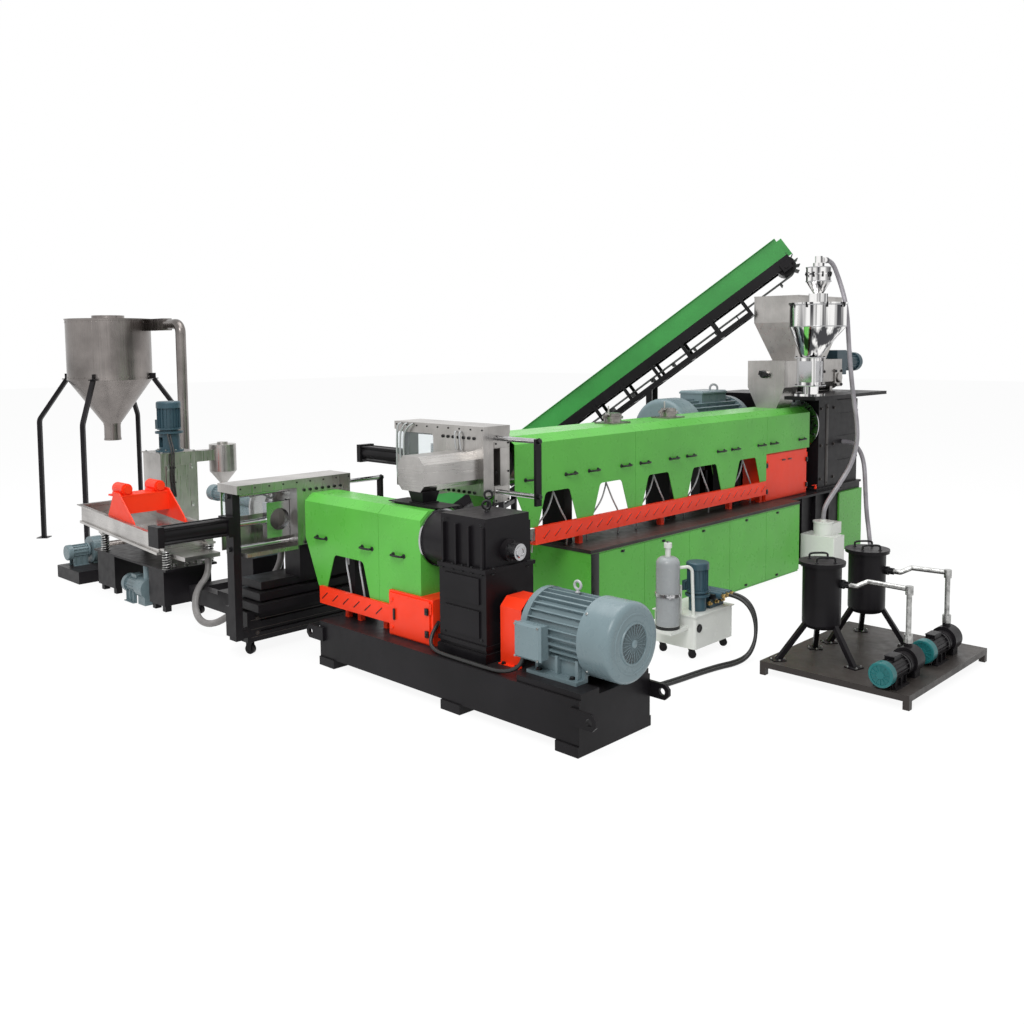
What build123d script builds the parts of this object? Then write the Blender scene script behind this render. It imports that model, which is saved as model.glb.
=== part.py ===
from build123d import *
import math
import os

os.makedirs("parts", exist_ok=True)

# Two-stage plastic pelletizing line, standing on the floor.
# Millimetres, +Z up. X = 0 is the vertical plane through the second extruder's axis.
# +X runs from the first extruder's head towards its gearbox.
# +Y runs from the second extruder's motor towards its die.
# The origin is on the floor under the middle foot of the second extruder's base.

# shared clearances
SEAT = 0.3            # running gap between pieces that move against each other
SLIDE_GAP = 5.0       # side gap of a screen slide in its slot
SHEET = 6.0           # wall of the sheet metal covers
SEAM = 3.0            # open joint between two neighbouring covers

# second extruder: base
BASE_HALF = 356.0
BASE_Y0 = -1144.0
BASE_Y1 = 1518.0
BASE_TOP = 350.0
FOOT_H = 67.0
BASE_FLANGE = 16.0
MID_FOOT = 96.0       # half length of the middle foot
END_FOOT = 187.0
LUG_OUT = 148.0       # how far a lifting lug stands out past the end of the base
LUG_BACK = 66.0       # length of its weld along the side plate
LUG_T = 24.0
LUG_H = 104.0
LUG_Z = 250.0
LUG_HOLE_IN = 54.0    # from the tip to the centre of the hole
LUG_HOLE_R = 24.0
RAIL_IN = 165.0
RAIL_OUT = 340.0
RAIL_Y1 = -607.0

# second extruder: line of the screw and what sits on it
AXIS2_Z = 1093.0
BARREL2_R = 95.0
BAND2_R = 132.0
BAND2_L = 150.0
BAND2_PITCH = 230.0
RING2_R = 213.0
RING_T = 18.0
HUB2_Y = 465.0        # face of the gearbox hub that carries the ring
GB2_HALF = 232.0
GB2_Y0 = -226.0
GB2_Y1 = 240.0
GB2_SPLIT_Z = 975.0
GB2_TOP = 1330.0
GB2_PLINTH_Z = 454.0
STUB_R = 58.0
STUB_L = 98.0
BOSS_R = 75.0
BOSS_OUT = 26.0

# second extruder: cover, skirt and electric box
COVER2_HALF = 193.0
COVER2_FOLD_Z = 1237.0
COVER2_TOP_Z = 1297.0
COVER2_TOP_HALF = 118.0
COVER2_LOW_Z = 560.0
COVER2_Y1 = 1924.0
COVER2_SEAM_Y = 969.0
SKIRT2_X = -218.0
SKIRT2_Y1 = 1708.0
SKIRT2_Z0 = 431.0
SKIRT2_Z1 = 570.0
EBOX2_X1 = 40.0
EBOX2_Y0 = 331.0
EBOX2_Y1 = 820.0
EBOX2_TOP = 686.0

# second extruder: motor and coupling guard
MOTOR2_Z = 655.0
MOTOR2_R = 245.0
COWL2_R = 257.0
MOTOR2_Y0 = -1285.0
MOTOR2_Y1 = -505.0
COWL2_L = 250.0
COUPLING_R = 78.0
GUARD_HALF = 145.0
GUARD_Y0 = -465.0
GUARD_Y1 = -272.0
GUARD_TOP = 802.0
GUARD_FOLD = 58.0     # height of the sloping shoulders
RAIL_TOP = 390.0

# first extruder: cabinet, deck and stands
CAB_X0 = 1543.0
CAB_X1 = 5093.0
CAB_Y0 = 338.0
CAB_TOP = 744.0
DECK_T = 30.0
CORNER_POST = 50.0
PLINTH_X0 = 6360.0
PLINTH_X1 = 6950.0
PLINTH_Y0 = 500.0
PLINTH_TOP = 704.0

# first extruder: line of the screw and what sits on it
AXIS1_Y = 850.0
AXIS1_Z = 1533.0
BARREL1_R = 110.0
BAND1_R = 165.0
BAND1_L = 260.0
BAND1_PITCH = 390.0
RING1_R = 309.0
RING1_X = 5885.0
COVER1_X0 = 870.0
COVER1_X1 = 5712.0
COVER1_SEAMS = (2449.0, 4776.0)
COVER1_HALF = 290.0
COVER1_FOLD_Z = 1697.0
COVER1_TOP_Z = 1757.0
COVER1_TOP_HALF = 200.0
COVER1_LOW_Z = 1005.0
SKIRT1_Y = 540.0
SKIRT1_X0 = 1085.0
SKIRT1_Z0 = 860.0
SKIRT1_Z1 = 1005.0
EBOX1_X0 = 4768.0
EBOX1_X1 = 5706.0
EBOX1_Y0 = 590.0
EBOX1_TOP = 1296.0

# first extruder: gearbox and motor
GB1_X0 = 5930.0
GB1_X1 = 6967.0
GB1_HALF = 290.0
GB1_TOP = 1850.0
MOTOR1_Y = 1650.0
MOTOR1_Z = 1500.0
MOTOR1_R = 355.0
COWL1_R = 375.0
MOTOR1_X0 = 4326.0
MOTOR1_X1 = 5800.0

# electric box doors
DOOR_T = 14.0
DOOR_MARGIN = 14.0
KNUCKLE_R = 8.0
PIN_R = 4.0
KNUCKLE_L = 26.0
PIN_OUT = 10.0        # hinge pin in front of the box face
LATCH_R = 13.0

# screen changers, alike on both extruders
CHANGER_HALF_W = 265.0
CHANGER_HALF_T = 145.0
CHANGER_BOTTOM = -217.0
CHANGER_TOP = 258.0
SLIDE_HALF_T = 30.0
SLIDE_HALF_H = 145.0
SLIDE_X0 = -480.0
SLIDE_X1 = 120.0
SCREENS = (-360.0, 0.0)
CLEVIS_R = 28.0
CLEVIS_L = 60.0
SCREEN_R = 90.0
BORE_R = 60.0
ROD_R = 24.0
ROD_TAIL = 540.0      # part of the rod inside the cylinder
TIE_R = 19.0
TIE_HIGH = 232.0
TIE_LOW = -190.0
POST_HALF = 55.0
POST_IN = -735.0
POST_OUT = -800.0
FAR_POST = 690.0
FAR_POST_T = 25.0
FAR_POST_HALF = 30.0
CYL_L = 630.0
CYL_R = 65.0
LID_X0 = -810.0
LID_H = 68.0
TRAY_X0 = -735.0
TRAY_H = 30.0
WINDOW_W = 456.0
WINDOW_H = 204.0
WINDOW_X = -546.0
WINDOW_Z = 140.0
WINDOW_R = 28.0
CHANGER2_Y = 2070.0
CHANGER1_X = 690.0


def block(x0, x1, y0, y1, z0, z1):
    size = (abs(x1 - x0), abs(y1 - y0), abs(z1 - z0))
    middle = ((x0 + x1) / 2, (y0 + y1) / 2, (z0 + z1) / 2)
    return Pos(*middle) * Box(*size)


def rod_x(x0, x1, y, z, r):
    return Pos((x0 + x1) / 2, y, z) * Rot(0, 90, 0) * Cylinder(r, abs(x1 - x0))


def rod_y(y0, y1, x, z, r):
    return Pos(x, (y0 + y1) / 2, z) * Rot(90, 0, 0) * Cylinder(r, abs(y1 - y0))


def rod_z(z0, z1, x, y, r):
    return Pos(x, y, (z0 + z1) / 2) * Cylinder(r, abs(z1 - z0))


def cone_z(z0, z1, x, y, r0, r1):
    return Pos(x, y, (z0 + z1) / 2) * Cone(r0, r1, abs(z1 - z0))


def save(name, *solids):
    shape = solids[0] if len(solids) == 1 else Compound(children=list(solids))
    shape.label = name
    export_step(shape, "parts/" + name + ".step")


def prism_along_y(points, y0, y1):
    """Closed outline of (x, z) points carried from y0 to y1."""
    face = make_face(Polyline(*[(x, 0, z) for x, z in points], close=True).edges())
    return Pos(0, y1, 0) * extrude(face, amount=y1 - y0, dir=(0, -1, 0))


def prism_along_x(points, x0, x1):
    """Closed outline of (y, z) points carried from x0 to x1."""
    face = make_face(Polyline(*[(0, y, z) for y, z in points], close=True).edges())
    return Pos(x0, 0, 0) * extrude(face, amount=x1 - x0, dir=(1, 0, 0))


def roof(half, top_half, low, fold, top, inset):
    """Outline of a hood: upright sides, folded shoulders and a flat top."""
    return [
        (-half + inset, low),
        (-half + inset, fold - inset * 0.4),
        (-top_half + inset * 0.4, top - inset),
        (top_half - inset * 0.4, top - inset),
        (half - inset, fold - inset * 0.4),
        (half - inset, low),
    ]


# Second extruder


def lifting_lug(side, end, way):
    """Plate welded outside a side plate, with its holed tip past the end of the base."""
    tip = end + way * LUG_OUT
    root = end - way * LUG_BACK
    half = LUG_H / 2
    cut = LUG_H * 0.3
    outline = [
        (root, LUG_Z - half), (tip - way * cut, LUG_Z - half), (tip, LUG_Z - half + cut),
        (tip, LUG_Z + half - cut), (tip - way * cut, LUG_Z + half), (root, LUG_Z + half),
    ]
    x = side * BASE_HALF
    lug = prism_along_x(outline, min(x, x + side * LUG_T), max(x, x + side * LUG_T))
    return lug - rod_x(x - 2 * LUG_T, x + 2 * LUG_T, tip - way * LUG_HOLE_IN, LUG_Z, LUG_HOLE_R)


def base_two():
    shell = block(-BASE_HALF, BASE_HALF, BASE_Y0, BASE_Y1, FOOT_H, BASE_TOP)
    inner = BASE_HALF - 100
    for y0, y1 in ((BASE_Y0 + END_FOOT, -MID_FOOT), (MID_FOOT, BASE_Y1 - END_FOOT)):
        shell -= block(-inner, inner, y0, y1, FOOT_H, BASE_TOP - BASE_FLANGE)
    for y0, y1 in (
        (BASE_Y0, BASE_Y0 + END_FOOT),
        (-MID_FOOT, MID_FOOT),
        (BASE_Y1 - END_FOOT, BASE_Y1),
    ):
        shell += block(-BASE_HALF - 12, BASE_HALF + 12, y0, y1, 0, FOOT_H)
    for side in (-1, 1):
        for end, way in ((BASE_Y0, -1), (BASE_Y1, 1)):
            shell += lifting_lug(side, end, way)
        shell += block(side * RAIL_IN, side * RAIL_OUT, BASE_Y0, RAIL_Y1, BASE_TOP, RAIL_TOP)
    return shell


def gearbox_two():
    """Split gear case on its plinth, with the hub for the screw and the lower input shaft."""
    y0, y1 = GB2_Y0, GB2_Y1
    body = block(-GB2_HALF - 18, GB2_HALF + 18, y0 - 10, y1 + 10, BASE_TOP, GB2_PLINTH_Z - 40)
    body += block(-GB2_HALF, GB2_HALF, y0, y1, GB2_PLINTH_Z - 40, GB2_SPLIT_Z)
    body += block(-GB2_HALF + 20, GB2_HALF - 20, y0 + 20, y1, GB2_SPLIT_Z, GB2_TOP)
    for z in (GB2_PLINTH_Z, GB2_SPLIT_Z):
        body += block(-GB2_HALF - 14, GB2_HALF + 14, y0 - 8, y1 + 8, z - 14, z + 14)
    for side in (-1, 1):
        face = side * GB2_HALF
        for z0, z1 in ((GB2_PLINTH_Z + 60, 700), (745, GB2_SPLIT_Z - 50)):
            body += block(face, face + side * 12, y0 + 60, y1 - 60, z0, z1)
        for step in range(4):
            y = y0 + 40 + step * (y1 - y0 - 80) / 3
            body += block(face - side * 20, face + side * 6, y - 9, y + 9, GB2_SPLIT_Z, GB2_TOP - 60)
    body += Pos(0, (y1 + HUB2_Y) / 2, AXIS2_Z) * Rot(90, 0, 0) * Cone(RING2_R - 14, 212, HUB2_Y - y1)
    body += rod_y(y0 - BOSS_OUT, y0 + 30, 0, AXIS2_Z, BOSS_R)
    body += rod_y(y0 - BOSS_OUT, y0, 0, MOTOR2_Z, BOSS_R + 15)
    middle = (GUARD_Y0 + GUARD_Y1) / 2
    body += rod_y(middle + 2, y0, 0, MOTOR2_Z, COUPLING_R * 0.55)
    body += rod_y(middle + 2, middle + 62, 0, MOTOR2_Z, COUPLING_R)
    body += block(GB2_HALF - 20, GB2_HALF + 70, -60, 130, 960, 1130)
    return body


def steel_rings():
    ring2 = rod_y(HUB2_Y, HUB2_Y + RING_T, 0, AXIS2_Z, RING2_R)
    ring2 -= rod_y(HUB2_Y - 5, HUB2_Y + RING_T + 5, 0, AXIS2_Z, BARREL2_R)
    y0 = GB2_Y0 - BOSS_OUT
    y1 = GB2_Y0 - STUB_L
    stub = rod_y(y1, y0, 0, AXIS2_Z, STUB_R)
    stub -= rod_y(y1 - 6, y0 - 20, 0, AXIS2_Z, STUB_R * 0.45)
    ring1 = rod_x(RING1_X, RING1_X + RING_T, AXIS1_Y, AXIS1_Z, RING1_R)
    ring1 -= rod_x(RING1_X - 5, RING1_X + RING_T + 5, AXIS1_Y, AXIS1_Z, BARREL1_R)
    return ring2, stub, ring1


def barrels():
    y1 = CHANGER2_Y - CHANGER_HALF_T
    two = rod_y(HUB2_Y, y1, 0, AXIS2_Z, BARREL2_R)
    for step in range(6):
        y = HUB2_Y + 70 + step * BAND2_PITCH
        two += rod_y(y, y + BAND2_L, 0, AXIS2_Z, BAND2_R)
    two += rod_y(y1 - 44, y1, 0, AXIS2_Z, BAND2_R + 20)
    x0 = CHANGER1_X + CHANGER_HALF_T
    x1 = RING1_X + RING_T
    one = rod_x(x0, x1, AXIS1_Y, AXIS1_Z, BARREL1_R)
    for step in range(12):
        x = x0 + 150 + step * BAND1_PITCH
        one += rod_x(x, x + BAND1_L, AXIS1_Y, AXIS1_Z, BAND1_R)
    one += rod_x(x0, x0 + 60, AXIS1_Y, AXIS1_Z, BAND1_R + 25)
    return one, two


def cradle(size, half, low, axis, r):
    """Post with a saddle that a barrel rests in, standing along its own x."""
    post = block(-size, size, -half, half, low, axis)
    post -= Pos(0, 0, axis) * Rot(0, 90, 0) * Cylinder(r, 4 * size)
    return post


def barrel_supports():
    posts = []
    deck = CAB_TOP + DECK_T
    first = CHANGER1_X + CHANGER_HALF_T + 150
    for step in (2, 6, 9):
        x = first + step * BAND1_PITCH - (BAND1_PITCH - BAND1_L) / 2
        post = cradle(50, 130, deck, AXIS1_Z, BARREL1_R)
        posts.append(Pos(x, AXIS1_Y, 0) * post)
    y = HUB2_Y + 70 + 4 * BAND2_PITCH - (BAND2_PITCH - BAND2_L) / 2
    post = cradle(34, 110, BASE_TOP, AXIS2_Z, BARREL2_R)
    posts.append(Pos(0, y, 0) * Rot(0, 0, 90) * post)
    return posts


def arch(points):
    """Opening with sloping sides and rounded top corners, as (along, z) points."""
    face = make_face(Polyline(*[(a, z, 0) for a, z in points], close=True).edges())
    tops = sorted(face.vertices(), key=lambda v: v.Y)[-2:]
    return fillet(tops, 45)


def cover_two():
    outer = prism_along_y(
        roof(COVER2_HALF, COVER2_TOP_HALF, COVER2_LOW_Z, COVER2_FOLD_Z, COVER2_TOP_Z, 0),
        HUB2_Y + RING_T + 2,
        COVER2_Y1,
    )
    outer -= prism_along_y(
        roof(COVER2_HALF, COVER2_TOP_HALF, COVER2_LOW_Z - 10, COVER2_FOLD_Z, COVER2_TOP_Z, SHEET),
        HUB2_Y + RING_T + 2 + SHEET,
        COVER2_Y1 + 10,
    )
    outer -= rod_y(HUB2_Y, HUB2_Y + 60, 0, AXIS2_Z, BAND2_R + 6)
    wide = COVER2_HALF + 50
    outer -= block(-wide, wide, 400, EBOX2_Y1 + 4, 500, EBOX2_TOP)
    opening = arch([(1076, 540), (1164, 842), (1531, 842), (1648, 540)])
    opening = Pos(-wide, 0, 0) * Rot(0, 0, 90) * Rot(90, 0, 0) * extrude(opening, amount=2 * wide)
    outer -= opening
    end = make_face(
        Polyline((COVER2_Y1 + 5, 949, 0), (1744, 540, 0), (COVER2_Y1 + 5, 540, 0), close=True).edges()
    )
    outer -= Pos(-wide, 0, 0) * Rot(0, 0, 90) * Rot(90, 0, 0) * extrude(end, amount=2 * wide)
    seam = block(-wide, wide, COVER2_SEAM_Y - SEAM / 2, COVER2_SEAM_Y + SEAM / 2, 0, 2000)
    parts = (outer - seam).solids()
    return parts


def cover_one():
    low = COVER1_LOW_Z
    outer = Pos(0, AXIS1_Y, 0) * prism_along_x(
        roof(COVER1_HALF, COVER1_TOP_HALF, low, COVER1_FOLD_Z, COVER1_TOP_Z, 0),
        COVER1_X0,
        COVER1_X1,
    )
    outer -= Pos(0, AXIS1_Y, 0) * prism_along_x(
        roof(COVER1_HALF, COVER1_TOP_HALF, low - 10, COVER1_FOLD_Z, COVER1_TOP_Z, SHEET),
        COVER1_X0 - 10,
        COVER1_X1 - SHEET,
    )
    outer -= rod_x(COVER1_X1 - 50, COVER1_X1 + 5, AXIS1_Y, AXIS1_Z, BAND1_R + 6)
    wide = COVER1_HALF + 50
    y0 = AXIS1_Y - wide
    y1 = AXIS1_Y + wide
    outer -= block(EBOX1_X0 - 4, COVER1_X1 + 100, y0, y1, low - 50, EBOX1_TOP)
    for left, right in ((1130, 1640), (1840, 2350), (2545, 3070), (3274, 3890), (4120, 4645)):
        shape = arch([(left, low - 20), (left + 105, 1280), (right - 105, 1280), (right, low - 20)])
        outer -= Pos(0, y1, 0) * Rot(90, 0, 0) * extrude(shape, amount=2 * wide)
    end = make_face(
        Polyline((COVER1_X0 - 5, 1330, 0), (1040, low - 20, 0), (COVER1_X0 - 5, low - 20, 0), close=True)
        .edges()
    )
    outer -= Pos(0, y1, 0) * Rot(90, 0, 0) * extrude(end, amount=2 * wide)
    for x in COVER1_SEAMS:
        outer -= block(x - SEAM / 2, x + SEAM / 2, y0, y1, 0, 2000)
    return outer.solids()


def skirts():
    x = SKIRT2_X
    y0 = EBOX2_Y1
    two = block(x, x + SHEET, y0, SKIRT2_Y1, SKIRT2_Z0, SKIRT2_Z1)
    two += block(x, -COVER2_HALF, y0, SKIRT2_Y1, SKIRT2_Z1 - SHEET, SKIRT2_Z1)
    two += block(x, -112, y0, SKIRT2_Y1 - 240, SKIRT2_Z0, SKIRT2_Z0 + SHEET)
    for y in (y0 + 120, 1260, 1420):
        two += block(-150, -110, y, y + 40, BASE_TOP, SKIRT2_Z0)
    deck = CAB_TOP + DECK_T
    y = SKIRT1_Y
    x1 = EBOX1_X0 - 40
    cover_y = AXIS1_Y - COVER1_HALF
    one = block(SKIRT1_X0, x1, y, y + SHEET, SKIRT1_Z0, SKIRT1_Z1)
    one += block(SKIRT1_X0, x1, y, cover_y + 20, SKIRT1_Z1 - SHEET, SKIRT1_Z1)
    one += block(SKIRT1_X0, x1, y, y + 120, SKIRT1_Z0, SKIRT1_Z0 + SHEET)
    for x in (1700, 2900, 4100, 4700):
        one += block(x, x + 50, y + 60, y + 110, deck, SKIRT1_Z0)
    return one, two


def open_box(x0, x1, y0, y1, z0, z1):
    """Electric box, open towards -y, with a lip round the front and a mounting plate."""
    box = block(x0, x1, y0, y1, z0, z1)
    box -= block(x0 + SHEET, x1 - SHEET, y0 + SHEET, y1 - SHEET, z0 + SHEET, z1 - SHEET)
    lip = 24
    box -= block(x0 + lip, x1 - lip, y0 - 5, y0 + 20, z0 + lip, z1 - lip)
    box += block(x0 + 40, x1 - 40, y1 - SHEET - 10, y1 - SHEET, z0 + 40, z1 - 40)
    return box


def hinge_levels(height):
    return height * 0.16, height * 0.84


def fixed_hinges(height):
    """Pins and outer knuckles at the local origin; the box face is at y = PIN_OUT."""
    pieces = []
    for z in hinge_levels(height):
        low = z - KNUCKLE_L / 2 - SEAT
        high = z + KNUCKLE_L / 2 + SEAT
        pin = rod_z(low - KNUCKLE_L, high + KNUCKLE_L, 0, 0, PIN_R)
        for z0, z1 in ((low - KNUCKLE_L, low), (high, high + KNUCKLE_L)):
            pin += rod_z(z0, z1, 0, 0, KNUCKLE_R)
            pin += block(-5, 5, 0, PIN_OUT, z0, z1)
        pieces.append(pin)
    return pieces


def door(width, height):
    """Tray shaped door; hinge pin at the origin, panel along +x, front towards -y."""
    back = PIN_OUT - SEAT
    panel = block(KNUCKLE_R + 4, width, back - DOOR_T, back, 0, height)
    panel -= block(KNUCKLE_R + 10, width - 6, back - DOOR_T + 4, back + 1, 6, height - 6)
    for z in hinge_levels(height):
        leaf = block(KNUCKLE_R - 3, KNUCKLE_R + 40, -4.3, 2, z - KNUCKLE_L / 2, z + KNUCKLE_L / 2)
        knuckle = rod_z(z - KNUCKLE_L / 2, z + KNUCKLE_L / 2, 0, 0, KNUCKLE_R)
        panel += leaf + knuckle
        panel -= rod_z(z - KNUCKLE_L, z + KNUCKLE_L, 0, 0, PIN_R + SEAT)
        panel += rod_y(back - DOOR_T - 9, back - DOOR_T + 2, width - 34, z, LATCH_R)
    return panel


DECK_TOP = CAB_TOP + DECK_T
DOOR1_H = EBOX1_TOP - DECK_TOP - 2 * DOOR_MARGIN
DOOR2_H = EBOX2_TOP - BASE_TOP - 2 * DOOR_MARGIN
DOOR1_W = EBOX1_X1 - EBOX1_X0 - 2 * DOOR_MARGIN
DOOR2_W = EBOX2_Y1 - EBOX2_Y0 - 2 * DOOR_MARGIN
DOOR1_AT = Pos(EBOX1_X1 - DOOR_MARGIN, EBOX1_Y0 - PIN_OUT, DECK_TOP + DOOR_MARGIN)
DOOR2_AT = Pos(SKIRT2_X - PIN_OUT, EBOX2_Y0 + DOOR_MARGIN, BASE_TOP + DOOR_MARGIN)


def electric_boxes():
    one = open_box(EBOX1_X0, EBOX1_X1, EBOX1_Y0, EBOX1_Y0 + 260, DECK_TOP, EBOX1_TOP)
    for hinge in fixed_hinges(DOOR1_H):
        one += DOOR1_AT * hinge
    depth = EBOX2_X1 - SKIRT2_X
    two = open_box(-EBOX2_Y1, -EBOX2_Y0, 0, depth, BASE_TOP, EBOX2_TOP)
    two = Pos(SKIRT2_X, 0, 0) * Rot(0, 0, -90) * two
    for hinge in fixed_hinges(DOOR2_H):
        two += DOOR2_AT * Rot(0, 0, -90) * hinge
    return one, two


def door_one():
    return DOOR1_AT * mirror(door(DOOR1_W, DOOR1_H), about=Plane.YZ)


def door_two():
    return DOOR2_AT * Rot(0, 0, -90) * mirror(door(DOOR2_W, DOOR2_H), about=Plane.YZ)


# Screen changers


def changer_body():
    body = block(-CHANGER_HALF_W, CHANGER_HALF_W, -CHANGER_HALF_T, CHANGER_HALF_T,
                 CHANGER_BOTTOM, CHANGER_TOP)
    gap = SLIDE_HALF_T + SLIDE_GAP
    body -= block(-400, 400, -gap, gap, -SLIDE_HALF_H - SEAT, SLIDE_HALF_H + SLIDE_GAP)
    body -= rod_y(-200, 200, 0, 0, BORE_R)
    return body


def changer_frame(flow):
    """Stainless enclosure round the slide's parking place: lid, tray and glazed side."""
    inner = -CHANGER_HALF_W
    t = CHANGER_HALF_T
    top = CHANGER_TOP + LID_H
    lid = block(LID_X0, CHANGER_HALF_W + SHEET, -t, t, CHANGER_TOP, top)
    lid -= block(LID_X0 + SHEET, CHANGER_HALF_W, -t + SHEET, t - SHEET, CHANGER_TOP - 1, top - SHEET)
    low = CHANGER_BOTTOM - TRAY_H
    tray = block(TRAY_X0, inner, -t, t, low, CHANGER_BOTTOM)
    tray -= block(TRAY_X0 + SHEET, inner - SHEET, -t + SHEET, t - SHEET, low + SHEET, CHANGER_BOTTOM + 1)
    side = block(LID_X0 + 20, inner, flow * (t - 8), flow * t, CHANGER_BOTTOM, CHANGER_TOP)
    hole = RectangleRounded(WINDOW_W, WINDOW_H, WINDOW_R)
    hole = Pos(WINDOW_X, 0, WINDOW_Z) * Rot(90, 0, 0) * extrude(hole, amount=2 * t, both=True)
    return lid + (side - hole) + tray


def changer_glass(flow):
    pane = RectangleRounded(WINDOW_W - 2 * SEAT, WINDOW_H - 2 * SEAT, WINDOW_R - SEAT)
    pane = Rot(90, 0, 0) * extrude(pane, amount=2, both=True)
    return Pos(WINDOW_X, flow * (CHANGER_HALF_T - 4), WINDOW_Z) * pane


def tie_frames():
    """Posts at both ends of a changer, each held to its body by an upper and a lower rod."""
    near = block(POST_OUT, POST_IN, -POST_HALF, POST_HALF, CHANGER_BOTTOM - 12, CHANGER_TOP - 2)
    near -= rod_x(POST_OUT - 5, POST_IN + 5, 0, 0, ROD_R + 2)
    far_end = FAR_POST + FAR_POST_T
    far = block(FAR_POST, far_end, -FAR_POST_HALF, FAR_POST_HALF, CHANGER_BOTTOM - 44, CHANGER_TOP - 8)
    for z in (TIE_LOW, TIE_HIGH):
        near += rod_x(POST_IN, -CHANGER_HALF_W, 0, z, TIE_R)
        far += rod_x(CHANGER_HALF_W, FAR_POST, 0, z, TIE_R)
    return near, far


def changer_cylinder():
    x1 = POST_OUT
    x0 = x1 - CYL_L
    tube = rod_x(x0, x1, 0, 0, CYL_R)
    for x in (x0, x1 - 50):
        tube += block(x, x + 50, -78, 78, -78, 78)
    for y in (-58, 58):
        for z in (-58, 58):
            tube += rod_x(x0, x1, y, z, 9)
    tube -= rod_x(x0 + 40, x1 + 1, 0, 0, ROD_R + 1)
    return tube


def changer_slide():
    plate = block(SLIDE_X0, SLIDE_X1, -SLIDE_HALF_T, SLIDE_HALF_T, -SLIDE_HALF_H, SLIDE_HALF_H)
    for x in SCREENS:
        plate -= rod_y(-50, 50, x, 0, SCREEN_R)
    plate += rod_x(SLIDE_X0 - CLEVIS_L, SLIDE_X0, 0, 0, CLEVIS_R)
    plate += rod_x(POST_OUT - ROD_TAIL, SLIDE_X0 - CLEVIS_L, 0, 0, ROD_R)
    return plate


HEAD2 = Pos(0, CHANGER2_Y, AXIS2_Z)
HEAD1 = Pos(CHANGER1_X, AXIS1_Y, AXIS1_Z) * Rot(0, 0, -90)


def on_both(shape_one, shape_two):
    return HEAD1 * shape_one, HEAD2 * shape_two


# Motors


def motor(length, r, cowl_r, foot_h, fins, box_side, cowl_l=0.0):
    """Finned motor along +x: fan cowl at x = 0, drive flange at x = length."""
    cowl_l = cowl_l or length * 0.22
    core = r * 0.86
    body = rod_x(cowl_l - 5, length * 0.94, 0, 0, core)
    for step in range(fins):
        angle = 360.0 * step / fins
        fin = block(cowl_l, length * 0.88, core * 0.9, r * 0.985, -r * 0.018, r * 0.018)
        body += Rot(angle, 0, 0) * fin
    cowl = rod_x(0, cowl_l, 0, 0, cowl_r)
    cowl = fillet(cowl.edges().sort_by(Axis.X)[0], cowl_r * 0.16)
    body += cowl
    body += rod_x(length * 0.88, length * 0.94, 0, 0, r)
    body += rod_x(length * 0.94, length, 0, 0, r * 0.8)
    body += rod_x(length, length + r * 0.12, 0, 0, r * 0.2)
    if foot_h:
        body += motor_feet(cowl_l, length * 0.86, r, foot_h)
    if box_side:
        body += terminal_box(length, r, box_side)
    return body


def motor_feet(x0, x1, r, foot_h):
    """Two long feet with upright ribs, cast on the frame of a motor."""
    low = -foot_h
    feet = block(x0, x1, -r * 0.62, r * 0.62, -r * 0.92, -r * 0.6)
    for side in (-1, 1):
        feet += block(x0, x1, side * r * 0.66, side * r * 1.04, low, low + r * 0.09)
        for share in (0.06, 0.46, 0.86):
            x = x0 + (x1 - x0) * share
            feet += block(x, x + r * 0.09, side * r * 0.5, side * r * 0.86, low, -r * 0.5)
        feet += block(x0, x1, side * r * 0.58, side * r * 0.7, low, -r * 0.55)
    return feet


def terminal_box(length, r, box_side):
    """Connection box on a neck, with a lid that stands out all round."""
    if box_side == "side":
        x0 = length * 0.645
        x1 = length * 0.925
        box = block(x0 + r * 0.1, x1 - r * 0.1, r * 0.6, r * 0.95, -r * 0.54, r * 0.2)
        box += block(x0, x1, r * 0.93, r * 1.2, -r * 0.62, r * 0.27)
        lid = block(x0 - 6, x1 + 6, r * 1.2, r * 1.3, -r * 0.65, r * 0.3)
        return box + chamfer(lid.faces().sort_by(Axis.Y)[-1].edges(), r * 0.06)
    x0 = length * 0.42
    x1 = length * 0.76
    box = block(x0, x1, -r * 0.42, r * 0.42, r * 0.6, r * 1.14)
    lid = block(x0 - 6, x1 + 6, -r * 0.46, r * 0.46, r * 1.14, r * 1.24)
    return box + chamfer(lid.faces().sort_by(Axis.Z)[-1].edges(), r * 0.05)


def motor_two():
    """Motor of the second extruder, with the coupling half on its shaft."""
    length = MOTOR2_Y1 - MOTOR2_Y0
    shape = motor(length, MOTOR2_R, COWL2_R, MOTOR2_Z - RAIL_TOP, 30, "side", COWL2_L)
    shape += rod_z(MOTOR2_R * 0.8, MOTOR2_R + 8, length * 0.58, 0, 14)
    middle = (GUARD_Y0 + GUARD_Y1) / 2 - MOTOR2_Y0
    shape += rod_x(length, middle - 2, 0, 0, COUPLING_R * 0.55)
    shape += rod_x(middle - 62, middle - 2, 0, 0, COUPLING_R)
    return Pos(0, MOTOR2_Y0, MOTOR2_Z) * Rot(0, 0, 90) * shape


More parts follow.
